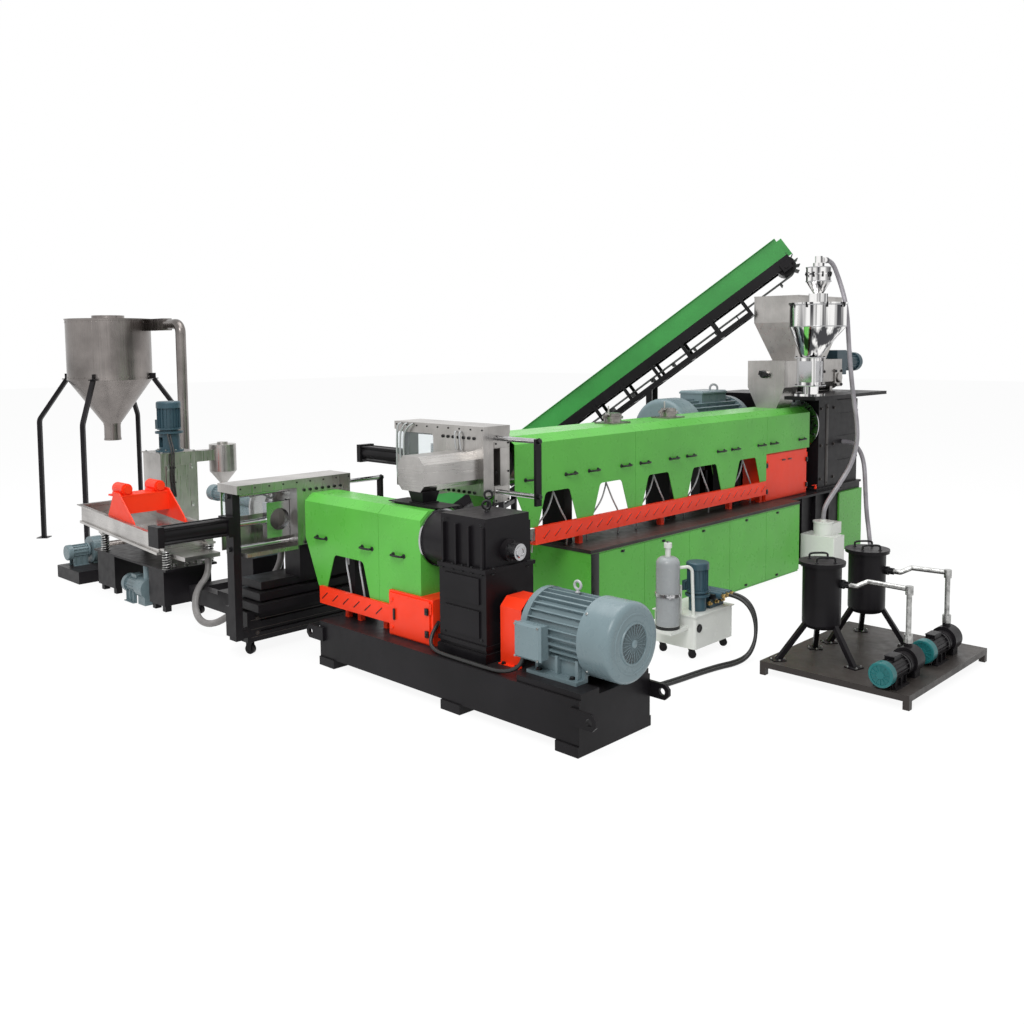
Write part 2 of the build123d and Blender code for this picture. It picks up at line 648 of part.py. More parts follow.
def coupling_guard():
    half = GUARD_HALF
    top = GUARD_TOP
    fold = top - GUARD_FOLD
    outline = [(-half, BASE_TOP), (-half, fold), (-half + 60, top), (half - 60, top),
               (half, fold), (half, BASE_TOP)]
    inner = [(-half + 5, BASE_TOP - 5), (-half + 5, fold - 2), (-half + 62, top - 5),
             (half - 62, top - 5), (half - 5, fold - 2), (half - 5, BASE_TOP - 5)]
    guard = prism_along_y(outline, GUARD_Y0, GUARD_Y1)
    guard -= prism_along_y(inner, GUARD_Y0 - 10, GUARD_Y1 + 10)
    for side in (-1, 1):
        guard += block(side * half, side * (half + 24), GUARD_Y0, GUARD_Y1, BASE_TOP, BASE_TOP + 6)
    return guard


def motor_one():
    length = MOTOR1_X1 - MOTOR1_X0
    shape = motor(length, MOTOR1_R, COWL1_R, MOTOR1_R + 25, 30, "top")
    shape += rod_z(MOTOR1_R * 0.8, MOTOR1_R + 20, length * 0.86, 0, 18)
    return Pos(MOTOR1_X0, MOTOR1_Y, MOTOR1_Z) * shape


# First extruder


def cabinet():
    """Green panelled cabinet under the barrel and the green plinth under the gearbox."""
    y0 = CAB_Y0
    y1 = 2 * AXIS1_Y - y0
    body = block(CAB_X0, CAB_X1, y0, y1, 0, CAB_TOP)
    bays = 5
    pitch = (CAB_X1 - CAB_X0 - CORNER_POST) / bays
    for y, inward in ((y0, 1), (y1, -1)):
        for step in range(bays + 1):
            x = CAB_X0 + CORNER_POST + step * pitch
            if step < bays or inward > 0:
                body -= block(x - 2, x + 2, y - inward, y + inward * 5, 0, CAB_TOP - 12)
        body -= block(CAB_X0, CAB_X1, y - inward, y + inward * 5, CAB_TOP - 14, CAB_TOP - 10)
        body -= block(CAB_X0, CAB_X1, y - inward, y + inward * 12, -1, 22)
    plinth = block(PLINTH_X0, PLINTH_X1, PLINTH_Y0, 2 * AXIS1_Y - PLINTH_Y0, 0, PLINTH_TOP)
    return body, plinth


def deck():
    y1 = 2 * AXIS1_Y - CAB_Y0
    plate = block(CAB_X0 - 6, CAB_X1, CAB_Y0 - 8, y1 + 8, CAB_TOP, DECK_TOP)
    for y in (CAB_Y0 - 8, y1 + 8):
        inward = 1 if y < AXIS1_Y else -1
        plate -= block(CAB_X0 - 7, CAB_X1 + 1, y - inward, y + inward * 4, CAB_TOP + 9, CAB_TOP + 20)
    return plate


MOTOR1_FLOOR = MOTOR1_Z - MOTOR1_R - 25
STAND_X0 = CAB_X1
STAND_Y0 = 520.0


def drive_stand():
    """Black stand under the gearbox, and the bench that carries the big motor."""
    y1 = 2 * AXIS1_Y - STAND_Y0
    stand = block(STAND_X0, PLINTH_X0, STAND_Y0, y1, 0, DECK_TOP - 24)
    stand += block(STAND_X0, PLINTH_X0, STAND_Y0 - 60, y1 + 10, DECK_TOP - 24, DECK_TOP)
    for x in (STAND_X0 + 300, STAND_X0 + 620, STAND_X0 + 940):
        stand += block(x, x + 20, STAND_Y0 - 50, STAND_Y0, 0, DECK_TOP - 24)
    half = MOTOR1_R * 0.86 + 20
    x0 = MOTOR1_X0 + 420
    x1 = MOTOR1_X1 - 60
    bench = block(x0, x1, MOTOR1_Y - half, MOTOR1_Y + half, MOTOR1_FLOOR - 60, MOTOR1_FLOOR)
    back = 2 * AXIS1_Y - CAB_Y0
    for y in (back + 30, MOTOR1_Y + half - 120):
        for x in (x0, x1 - 120):
            bench += block(x, x + 120, y, y + 120, 0, MOTOR1_FLOOR - 60)
            bench += block(x - 20, x + 140, y - 15, y + 135, 0, 16)
        bench += block(x0, x1, y + 20, y + 100, 260, 340)
    return stand, bench


SHELF_T = 38.0
SHELF_TOP = 1900.0
SHELF_X0 = 5200.0
SIDE_LOW = 1120.0


def gearbox_one():
    y0 = AXIS1_Y - GB1_HALF
    y1 = AXIS1_Y + GB1_HALF
    low = DECK_TOP
    top = SHELF_TOP - SHELF_T
    split = 6382.0
    body = block(GB1_X0 - 90, GB1_X1 + 20, y0 - 30, y1 + 30, low, low + 26)
    body += block(GB1_X0, split, y0, y1, low, top)
    body += block(split, GB1_X1, y0 + 40, y1 - 40, low, top - 40)
    for z0, z1 in ((low + 26, 1080), (1110, 1370), (1400, 1640), (1670, 1800)):
        body += block(split + 20, GB1_X1 - 20, y0 + 14, y1 - 14, z0, z1)
    for z in (1095, 1385, 1655):
        body += block(split, GB1_X1 + 12, y0 + 22, y1 - 22, z - 15, z + 15)
    face = GB1_X0
    body += rod_x(RING1_X + RING_T, face, AXIS1_Y, AXIS1_Z, GB1_HALF - 20)
    side_x0 = GB1_X0
    side_x1 = side_x0 + 770
    side_y1 = MOTOR1_Y + 380
    body += block(side_x0, side_x1, y1, side_y1, SIDE_LOW, SHELF_TOP - 20)
    body += rod_x(MOTOR1_X1 + 43, side_x0, MOTOR1_Y, MOTOR1_Z, 150)
    body += block(side_x0 + 30, side_x1 - 30, y1 + 60, side_y1 - 40, 0, SIDE_LOW)
    body += block(PLINTH_X0, GB1_X1, y0 - 20, y1 + 20, PLINTH_TOP, low)
    shelf = SHELF_TOP - SHELF_T
    body += block(SHELF_X0, GB1_X1 + 20, 230, 600, shelf, SHELF_TOP)
    body += block(SHELF_X0 + 380, GB1_X1 + 20, 600, y1, shelf, SHELF_TOP)
    return body


def vent_ports():
    ports = []
    for x in (2480.0, 3360.0):
        z = COVER1_TOP_Z
        port = block(x - 130, x + 130, AXIS1_Y - 110, AXIS1_Y + 110, z, z + 14)
        port += rod_z(z + 14, z + 46, x, AXIS1_Y, 82)
        port += rod_z(z + 46, z + 66, x, AXIS1_Y, 98)
        port += rod_z(z + 66, z + 96, x, AXIS1_Y, 70)
        port += block(x - 120, x + 120, AXIS1_Y - 14, AXIS1_Y + 14, z + 60, z + 84)
        ports.append(port)
    return ports


# Melt transfer between the two stages

DUCT_X0 = -20.0
DUCT_X1 = CHANGER1_X - CHANGER_HALF_T
DUCT_Y = 786.0
DUCT_HALF = 150.0
DUCT_Z0 = 1405.0
DUCT_Z1 = 1667.0
DUCT_TOP_CUT = 60.0
DUCT_LOW_CUT = 45.0
FUNNEL_Y = 730.0


def transfer_duct():
    half, low, high = DUCT_HALF, DUCT_Z0, DUCT_Z1
    a, b = DUCT_TOP_CUT, DUCT_LOW_CUT
    outline = [(-half + b, low), (half - b, low), (half, low + b), (half, high - a), (half - a, high),
               (-half + a, high), (-half, high - a), (-half, low + b)]
    return prism_along_x([(DUCT_Y + y, z) for y, z in outline], DUCT_X0, DUCT_X1)


def melt_funnel():
    low = COVER2_TOP_Z
    high = DUCT_Z0
    top = Pos(0, 0, high) * Rectangle(170, 160)
    bottom = Pos(0, 0, low + 20) * Rectangle(130, 120)
    funnel = loft([top, bottom])
    funnel += block(-100, 50, -230, 230, low, low + 11)
    funnel += block(-100, 100, -300, 300, low + 11, low + 18)
    funnel += block(-80, 80, -78, 78, low + 18, low + 28)
    return Pos(60, FUNNEL_Y, 0) * funnel


# Pelletizer behind the second head

HOOD_Y0 = CHANGER2_Y + CHANGER_HALF_T
HOOD_Y1 = 2700.0
HOOD_R = 228.0
CUTTER_Z = 1110.0
CUTTER_MOTOR_Y1 = 3740.0
CUTTER_MOTOR_R = 72.0


def die_hood():
    hood = rod_y(HOOD_Y0, HOOD_Y0 + 60, 0, AXIS2_Z, HOOD_R * 0.82)
    hood += rod_y(HOOD_Y0 + 60, HOOD_Y1, 0, AXIS2_Z, HOOD_R)
    for y in (HOOD_Y0 + 60, HOOD_Y0 + 250, HOOD_Y1 - 24):
        hood += rod_y(y, y + 24, 0, AXIS2_Z, HOOD_R + 18)
    hood += rod_z(AXIS2_Z - HOOD_R - 130, AXIS2_Z - HOOD_R + 60, 0, HOOD_Y0 + 380, 85)
    return hood


def cutter_motor():
    y0 = HOOD_Y1
    spindle = rod_y(y0, y0 + 560, 0, CUTTER_Z, 84)
    for y in (y0, y0 + 520):
        spindle += rod_y(y, y + 40, 0, CUTTER_Z, 118)
    spindle += block(-110, 110, y0 + 120, y0 + 420, 620, CUTTER_Z - 60)
    length = CUTTER_MOTOR_Y1 - (y0 + 560)
    drive = motor(length, CUTTER_MOTOR_R, CUTTER_MOTOR_R + 4, 0, 16, "top")
    drive = Pos(0, CUTTER_MOTOR_Y1, CUTTER_Z) * Rot(0, 0, -90) * drive
    return spindle + drive


TROLLEY_X = 650.0
TROLLEY_Y0 = 2100.0
TROLLEY_Y1 = 2431.0
TROLLEY_Z0 = 110.0
TROLLEY_Z1 = 361.0


def trolley():
    x = TROLLEY_X
    beam = block(-x, x, TROLLEY_Y0, TROLLEY_Y1, TROLLEY_Z0, TROLLEY_Z1)
    middle_y = (TROLLEY_Y0 + TROLLEY_Y1) / 2
    beam -= block(-x - 5, -x + 60, middle_y - 60, middle_y + 70, TROLLEY_Z0 + 60, TROLLEY_Z1 - 60)
    for z in (TROLLEY_Z0 + 70, TROLLEY_Z0 + 160):
        beam -= block(-x + 120, x - 120, TROLLEY_Y0 - 5, TROLLEY_Y0 + 18, z, z + 34)
    for step in range(3):
        z = TROLLEY_Z1 + step * 80
        inset = 40 * step
        beam += block(-x + 20 + inset, x - 20 - inset, 1960 + inset, 2330, z + 18, z + 80)
        beam += block(-x + 60 + inset, x - 60 - inset, 2000 + inset, 2300, z, z + 18)
    top = TROLLEY_Z1 + 240
    beam += block(-230, 230, CHANGER2_Y - 110, CHANGER2_Y + 110, top, AXIS2_Z + CHANGER_BOTTOM)
    for side in (-1, 1):
        beam += block(side * 200, side * 300, TROLLEY_Y1, 3700, TROLLEY_Z0, TROLLEY_Z0 + 150)
    beam += block(-300, 300, 3560, 3700, TROLLEY_Z0, TROLLEY_Z0 + 150)
    beam += block(-300, 300, HOOD_Y1 + 60, HOOD_Y1 + 480, TROLLEY_Z0 + 150, TROLLEY_Z0 + 190)
    beam += block(-160, 160, HOOD_Y1 + 100, HOOD_Y1 + 440, TROLLEY_Z0 + 190, 620)
    post_z = AXIS2_Z + CHANGER_BOTTOM - 12
    beam += block(POST_OUT, POST_IN, 2020, 2120, TROLLEY_Z0 + 60, post_z)
    beam += block(POST_OUT, -x, 2060, 2120, TROLLEY_Z0 + 60, TROLLEY_Z0 + 130)
    return beam


def caster(r, top):
    wheel = rod_x(-16, 16, 0, r, r)
    fork = block(-30, 30, -34, 34, top - 10, top)
    for side in (-1, 1):
        fork += block(side * 18, side * 26, -20, 26, r - 14, top - 10)
    fork += rod_x(-18, 18, 0, r, 9)
    return fork + wheel


OIL = (1690.0, 2240.0, -600.0, -200.0)
OIL_LOW = 85.0
OIL_TOP = 350.0


def casters():
    out = []
    for x, y in ((-590, TROLLEY_Y0 + 60), (590, TROLLEY_Y0 + 60), (-250, 3600), (250, 3600)):
        out.append(Pos(x, y, 0) * Rot(0, 0, 25) * caster(42, TROLLEY_Z0))
    for x in (OIL[0] + 50, OIL[1] - 50):
        for y in (OIL[2] + 60, OIL[3] - 60):
            out.append(Pos(x, y, 0) * Rot(0, 0, 40) * caster(32, OIL_LOW))
    return out


# Feeding: side feeder, hopper, dosing unit

HEAD_AT = (5981.0, 1040.0, 3363.0)      # head drum of the belt conveyor

FEED_X0 = 5250.0
FEED_BOX_L = 310.0
FEED_SPLIT = FEED_X0 + FEED_BOX_L
HOPPER_L = 1048.0
THROAT_IN = 74.0      # from the hopper's wall to its throat, at the end near the box
THROAT_L = 734.0
THROAT_Y0 = 726.0
THROAT_Y1 = 994.0
FEED_X1 = FEED_SPLIT + 1190.0
FEED_TOP = 2285.0
HOPPER_TOP = 3022.0
HOPPER_BREAK = 2717.0
DOSE_X = 5420.0
DOSE_Y = 330.0
DOSE_R = 300.0
DOSE_Z0 = 2659.0
DOSE_Z1 = 2900.0
DOSE_OUT_Z = 2329.0


HOPPER_X0 = FEED_SPLIT + SHEET
HOPPER_X1 = HOPPER_X0 + HOPPER_L
THROAT_X0 = HOPPER_X0 + THROAT_IN
THROAT_X1 = THROAT_X0 + THROAT_L


def feeder_trough():
    y0 = AXIS1_Y - 220
    y1 = AXIS1_Y + 240
    box = block(FEED_X0, FEED_SPLIT, y0, y1, 1990, FEED_TOP)
    top = Pos((FEED_X0 + FEED_SPLIT) / 2, (y0 + y1) / 2, 1990) * Rectangle(FEED_SPLIT - FEED_X0, y1 - y0)
    low = Pos((FEED_X0 + FEED_SPLIT) / 2, AXIS1_Y, COVER1_TOP_Z) * Rectangle(FEED_SPLIT - FEED_X0, 250)
    box += loft([top, low])
    trough = block(FEED_SPLIT, FEED_X1, y0 + 60, y1 - 60, SHELF_TOP + 120, FEED_TOP)
    trough += rod_x(FEED_SPLIT, FEED_X1, AXIS1_Y + 10, SHELF_TOP + 160, 150)
    for x in (FEED_SPLIT + 140, FEED_X1 - 180):
        trough += block(x, x + 60, AXIS1_Y - 100, AXIS1_Y + 120, SHELF_TOP, SHELF_TOP + 60)
    trough -= block(THROAT_X0, THROAT_X1, THROAT_Y0, THROAT_Y1, SHELF_TOP + 160, FEED_TOP + 5)
    box += trough
    box += rod_x(FEED_X0 - 34, FEED_X0, AXIS1_Y + 20, 2137, 46)
    return box


def hopper_shell(x0, x1, y0, y1, tx0, tx1, ty0, ty1, grow):
    upper = block(x0 - grow, x1 + grow, y0 - grow, y1 + grow, HOPPER_BREAK, HOPPER_TOP)
    a = Pos((x0 + x1) / 2, (y0 + y1) / 2, HOPPER_BREAK) * Rectangle(x1 - x0 + 2 * grow, y1 - y0 + 2 * grow)
    b = Pos((tx0 + tx1) / 2, (ty0 + ty1) / 2, FEED_TOP) * Rectangle(tx1 - tx0 + 2 * grow,
                                                                     ty1 - ty0 + 2 * grow)
    return upper + loft([a, b])


def feed_hopper():
    y0, y1 = 646.0, 1194.0
    mouth = (HOPPER_X0, HOPPER_X1, y0, y1)
    throat = (THROAT_X0, THROAT_X1, THROAT_Y0, THROAT_Y1)
    outer = hopper_shell(*mouth, *throat, SHEET)
    inner = hopper_shell(*mouth, *throat, 0)
    inner += block(*mouth, HOPPER_TOP - 1, HOPPER_TOP + 10)
    inner += block(*throat, FEED_TOP - 10, FEED_TOP + 1)
    notch = block(HOPPER_X0 + 6, HEAD_AT[0], y1 - 4, y1 + 16, 2890, HOPPER_TOP + 10)
    return outer - inner - notch


def dosing_hopper():
    x, y = DOSE_X, DOSE_Y
    ox, oy = x - 60, y + 50
    body = rod_z(DOSE_Z0, DOSE_Z1, x, y, DOSE_R)
    a = Pos(x, y, DOSE_Z0) * Circle(DOSE_R)
    b = Pos(ox, oy, DOSE_OUT_Z) * Circle(105)
    body += loft([a, b])
    body += rod_z(DOSE_Z1, DOSE_Z1 + 18, x, y, DOSE_R + 14)
    body += block(ox - 105, ox + 105, oy - 105, oy + 105, 2010, DOSE_OUT_Z)
    body += block(ox - 120, ox + 120, oy - 120, oy + 120, SHELF_TOP, SHELF_TOP + 26)
    body += rod_z(SHELF_TOP + 26, 2010, ox, oy, 90)
    z = DOSE_Z1 + 18
    body += block(x - 75, x + 75, y - 75, y + 75, z, z + 100)
    body += cone_z(z + 100, z + 230, x, y, 52, 132)
    body += rod_z(z + 230, z + 384, x, y, 132)
    body += rod_z(z + 300, z + 316, x, y, 144)
    body += rod_z(z + 384, z + 430, x, y, 60)
    body += rod_x(x + 40, x + 180, y, z + 470, 34)
    body += rod_z(z + 430, z + 504, x, y, 40)
    return body


def feeder_drive():
    y = AXIS1_Y + 10
    z = SHELF_TOP + 340
    body = block(FEED_X1, FEED_X1 + 240, y - 110, y + 110, z - 150, z + 150)
    body += Pos(FEED_X1 + 240 + 440 + 14, y, z) * Rot(0, 0, 180) * motor(440, 112, 118, 0, 16, "top")
    body += rod_x(FEED_X1 + 235, FEED_X1 + 300, y, z, 110)
    return body


# Belt conveyor up to the hopper

CONV_TURN = -60.0
CONV_SLOPE = 36.7
CONV_L = 5000.0
CONV_HALF = 300.0
DRUM_R = 110.0
BELT_T = 6.0
BELT_HALF = 262.0
CLEAT_H = 44.0
SIDE_Z0 = 105.0
SIDE_Z1 = 334.0
CHORD_END = 610.0     # the lower chord stops here, short of the hopper
PANEL_ENDS = {-1: 80.0, 1: 180.0}       # the far side panel reaches further than the near one
TRESTLE_MID = 1946.0
TRESTLE_LOW = 760.0
TRESTLE_END = 260.0
CONV_AT = Pos(*HEAD_AT) * Rot(0, 0, CONV_TURN) * Rot(0, -CONV_SLOPE, 0)


def conveyor_sides():
    out = []
    for side in (-1, 1):
        y0 = side * CONV_HALF
        end = PANEL_ENDS[side]
        panel = block(-CONV_L - 150, end, y0, y0 + side * SHEET, SIDE_Z0, SIDE_Z1)
        panel += block(-CONV_L - 150, end, y0, y0 + side * 30, SIDE_Z1 - SHEET, SIDE_Z1)
        out.append(CONV_AT * panel)
    return out


def conveyor_belt():
    outer = block(-CONV_L, 0, -BELT_HALF, BELT_HALF, -DRUM_R - BELT_T, DRUM_R + BELT_T)
    for x in (-CONV_L, 0):
        outer += rod_y(-BELT_HALF, BELT_HALF, x, 0, DRUM_R + BELT_T)
    inner = block(-CONV_L, 0, -BELT_HALF - 5, BELT_HALF + 5, -DRUM_R, DRUM_R)
    for x in (-CONV_L, 0):
        inner += rod_y(-BELT_HALF - 5, BELT_HALF + 5, x, 0, DRUM_R)
    belt = outer - inner
    count = 16
    for step in range(count):
        x = -CONV_L + (step + 0.5) * CONV_L / count
        for side in (-1, 1):
            z = side * (DRUM_R + BELT_T - 1)
            belt += block(x - 5, x + 5, -BELT_HALF + 20, BELT_HALF - 20, z, z + side * CLEAT_H)
    for step in range(5):
        angle = 36 + step * 27
        cleat = block(-5, 5, -BELT_HALF + 20, BELT_HALF - 20, DRUM_R + BELT_T - 1,
                      DRUM_R + BELT_T + CLEAT_H)
        belt += Rot(0, angle, 0) * cleat
    return CONV_AT * belt


def trestle(along, drop, half):
    """Two legs under the frame at a distance along the slope, down to the floor."""
    turn = math.radians(CONV_TURN)
    slope = math.radians(CONV_SLOPE)
    run = along * math.cos(slope)
    z = HEAD_AT[2] + along * math.sin(slope) - drop / math.cos(slope)
    x = HEAD_AT[0] + run * math.cos(turn)
    y = HEAD_AT[1] + run * math.sin(turn)
    legs = None
    for side in (-1, 1):
        leg = block(-35, 35, side * half - 30, side * half + 30, 0, z)
        leg += block(-90, 90, side * half - 70, side * half + 70, 0, 12)
        legs = leg if legs is None else legs + leg
    for level in (0.3, 0.75):
        legs += block(-25, 25, -half, half, z * level, z * level + 50)
    return Pos(x, y, 0) * Rot(0, 0, CONV_TURN) * legs


def conveyor_frame():
    half = CONV_HALF
    frame = None
    posts = [-CONV_L + 100 + step * (CONV_L - CHORD_END - 120) / 10 for step in range(11)]
    for side in (-1, 1):
        rail = block(-CONV_L - 150, 90, side * (half - 34), side * half, -10, SIDE_Z0)
        rail += block(-CONV_L - 150, 90, side * half, side * (half + SHEET), -10, SIDE_Z0)
        low = block(-CONV_L - 60, -CHORD_END, side * half, side * (half + 40), -230, -170)
        rail += low
        for x in posts:
            rail += block(x - 20, x + 20, side * half, side * (half + 30), -200, 40)
        frame = rail if frame is None else frame + rail
    for x in posts:
        frame += block(x - 20, x + 20, -half - 30, half + 30, -230, -190)
    for x in (-CONV_L, 0):
        frame += rod_y(-half - 70, half + 70, x, 0, 26)
        frame += rod_y(-BELT_HALF + 2, BELT_HALF - 2, x, 0, DRUM_R - SEAT)
        for side in (-1, 1):
            frame += block(x - 60, x + 60, side * (half - 20), side * (half + 54), -52, 52)
    frame = CONV_AT * frame
    for along in (-TRESTLE_MID, TRESTLE_LOW - CONV_L, TRESTLE_END - CONV_L):
        frame += trestle(along, 205, CONV_HALF + 20)
    return frame


# Dewatering unit, vibrating sieve and silo

CASING = (265.0, 695.0, 5310.0, 5710.0)
CASING_TOP = 1345.0
CASING_LOW = 220.0
WATER_X = 1065.0
WATER_Y = 5400.0
WATER_R = 150.0


def dewatering_casing():
    x0, x1, y0, y1 = CASING
    body = block(x0, x1, y0, y1, CASING_LOW, CASING_TOP)
    body += block(x0 - 14, x1 + 14, y0 - 14, y1 + 14, CASING_TOP - 12, CASING_TOP)
    body += block(x0 + 60, x1 - 60, y0 - 12, y0, CASING_LOW + 180, CASING_TOP - 140)
    for x in (x0, x1 - 60):
        for y in (y0, y1 - 60):
            body += block(x, x + 60, y, y + 60, 0, CASING_LOW)
    body += block(x1, WATER_X, WATER_Y - 62, WATER_Y + 62, 1215, 1335)
    body += rod_z(1080, 1385, WATER_X, WATER_Y, WATER_R)
    body += cone_z(950, 1080, WATER_X, WATER_Y, 45, WATER_R)
    body += rod_z(905, 950, WATER_X, WATER_Y, 45)
    body += rod_z(1385, 1410, WATER_X, WATER_Y, 60)
    return body


def dewatering_motor():
    x0, x1, y0, y1 = CASING
    x = (x0 + x1) / 2
    y = (y0 + y1) / 2
    z = CASING_TOP
    body = rod_z(z, z + 16, x, y, 150)
    body += rod_z(z + 16, z + 200, x, y, 112)
    body += rod_z(z + 200, z + 222, x, y, 150)
    for side in (-1, 1):
        body -= block(x + side * 30, x + side * 130, y - 45, y + 45, z + 50, z + 160)
    drive = motor(330, 128, 132, 0, 18, "side")
    body += Pos(x, y, z + 222 + 330) * Rot(0, 90, 0) * drive
    return body


SIEVE_X0 = -490.0
SIEVE_X1 = 40.0
SIEVE_Y0 = 3780.0
SIEVE_Y1 = 5329.0
SIEVE_DECK = 420.0
SPRING_TOP = 600.0
SPRING_IN = 45.0
SPRING_Y = (3836.0, 5150.0)
SPRINGS = [(x, y) for y in SPRING_Y for x in (SIEVE_X0 + SPRING_IN, SIEVE_X1 - SPRING_IN)]


def sieve_base():
    base = block(SIEVE_X0, SIEVE_X1, SIEVE_Y0, SIEVE_Y1, SIEVE_DECK - 20, SIEVE_DECK)
    base += block(SIEVE_X0 + 20, SIEVE_X1 - 20, 4900, SIEVE_Y1 - 40, 60, SIEVE_DECK - 20)
    base += block(SIEVE_X0 + 20, SIEVE_X1 - 20, 3860, 4160, 60, SIEVE_DECK - 20)
    for x in (SIEVE_X0 + 40, SIEVE_X1 - 100):
        for y in (3880, 4080, 4920, 5200):
            base += block(x, x + 60, y, y + 60, 0, 60)
    for x, y in SPRINGS:
        base += rod_z(SIEVE_DECK, SPRING_TOP, x, y, 22)
        for step in range(7):
            z = SIEVE_DECK + 8 + step * (SPRING_TOP - SIEVE_DECK - 24) / 6
            base += rod_z(z, z + 10, x, y, 32)
    step_box = block(-540, -60, 5611, 6168, 0, STEP_TOP)
    return base, step_box


TRAY_TILT = 3.6
TRAY_Y0 = 3880.0
TRAY_Z0 = 560.0
TRAY_L = 1700.0


def sieve_tray():
    length = TRAY_L
    half = (SIEVE_X1 - SIEVE_X0) / 2 + 10
    tray = block(-half, half, 0, length, 0, 190)
    tray -= block(-half + 8, half - 8, 8, length - 8, 8, 195)
    tray += block(-half - 34, half + 34, -34, length + 34, 182, 190)
    tray -= block(-half + 8, half - 8, 8, length - 8, 8, 195)
    tray += block(-half + 8, half - 8, 8, length - 8, 90, 96)
    tray += block(-half - 20, half + 20, 0, length, -4, 20)
    tray = Pos((SIEVE_X0 + SIEVE_X1) / 2, TRAY_Y0, TRAY_Z0) * Rot(TRAY_TILT, 0, 0) * tray
    for x, y in SPRINGS:
        reach = max(y + 45, TRAY_Y0 + 4)
        tray += block(x - 45, x + 45, y - 45, reach, SPRING_TOP, SPRING_TOP + 20)
        tray += block(x - 40, x + 40, y - 8, y + 8, SPRING_TOP + 18, SPRING_TOP + 46)
    mid = (SIEVE_X0 + SIEVE_X1) / 2
    tray += block(mid - 180, mid + 180, TRAY_Y0 - 320, TRAY_Y0 + 4, TRAY_Z0 - 40, TRAY_Z0)
    return tray


EXCITER_Y = 4740.0
EXCITER_LOW = 752.0
VIBRATOR_R = 58.0


def sieve_exciter():
    """Red bracket across the tray with two unbalance motors on its beam."""
    mid = (SIEVE_X0 + SIEVE_X1) / 2
    half = (SIEVE_X1 - SIEVE_X0) / 2 + 2
    y, low = EXCITER_Y, EXCITER_LOW
    cheek = [(y - 395, low), (y - 345, low + 70), (y - 50, low + 300), (y + 60, low + 300),
             (y + 190, low + 70), (y + 235, low)]
    rise = math.tan(math.radians(TRAY_TILT))
    cheek = [(a, z + (a - 4630) * rise) for a, z in cheek]
    body = None
    for side in (-1, 1):
        x = mid + side * half
        plate = prism_along_x(cheek, min(x, x - side * 12), max(x, x - side * 12))
        body = plate if body is None else body + plate
    top = low + 278
    body += block(mid - half, mid + half, y - 55, y + 185, top - 16, top)
    body += block(mid - half, mid + half, y - 52, y - 40, top - 190, top - 10)
    body += block(mid - half, mid + half, y + 44, y + 56, top - 190, top - 10)
    for side in (-1, 1):
        x = mid + side * 172
        z = top + VIBRATOR_R - 4
        body += rod_y(y - 30, y + 180, x, z, VIBRATOR_R)
        body += rod_y(y - 52, y + 202, x, z, VIBRATOR_R * 0.72)
        body += block(x - 70, x + 70, y, y + 150, top, top + 24)
    return body


STEP_TOP = 130.0
FAN_X = -500.0
FAN_Y = 6020.0
FAN_Z = 275.0
FAN_MOTOR_L = 250.0
VOLUTE_L = 120.0
VOLUTE_R = 143.0
FAN_OUT_X = -70.0
SILO_PIPE_R = 62.0


def sieve_pumps():
    """Water pump on the floor and the blower motor at the far end of the sieve."""
    pump = Pos(-420, 4680, 160) * Rot(0, 0, -90) * motor(300, 90, 94, 160, 14, "top")
    pump += rod_y(4380 - 140, 4380, -420, 160, 100)
    pump += block(-480, -360, 4240, 4380, 0, 110)
    pump += rod_z(160, SIEVE_DECK - 20, -420, 4300, 32)
    fan = Pos(FAN_X, FAN_Y, FAN_Z) * motor(FAN_MOTOR_L, 80, 84, FAN_Z - STEP_TOP, 14, None)
    x0 = FAN_X + FAN_MOTOR_L
    x1 = x0 + 8 + VOLUTE_L
    fan += rod_x(x0 + 8, x1, FAN_Y, FAN_Z, VOLUTE_R)
    fan += block(x0 + 20, x1 - 12, FAN_Y - 60, FAN_Y + 60, STEP_TOP, FAN_Z)
    fan += rod_x(x1, FAN_OUT_X, FAN_Y, FAN_Z, SILO_PIPE_R)
    fan += rod_x(FAN_OUT_X - 14, FAN_OUT_X, FAN_Y, FAN_Z, SILO_PIPE_R + 28)
    return pump, fan


SILO_X = 935.0
SILO_Y = 7950.0
SILO_R = 520.0
SILO_TOP = 2855.0
SILO_LOW = 2085.0
SILO_WALL = 6.0
LEG_OUT = 425.0
KNEE_Z = 1560.0
SILO_OUT_R = 103.0
SILO_CONE_Z = 1500.0
SILO_OUT_Z = 1295.0
PIPE_X = 1290.0
PIPE_Y = 6714.0
PIPE_Z = 2780.0


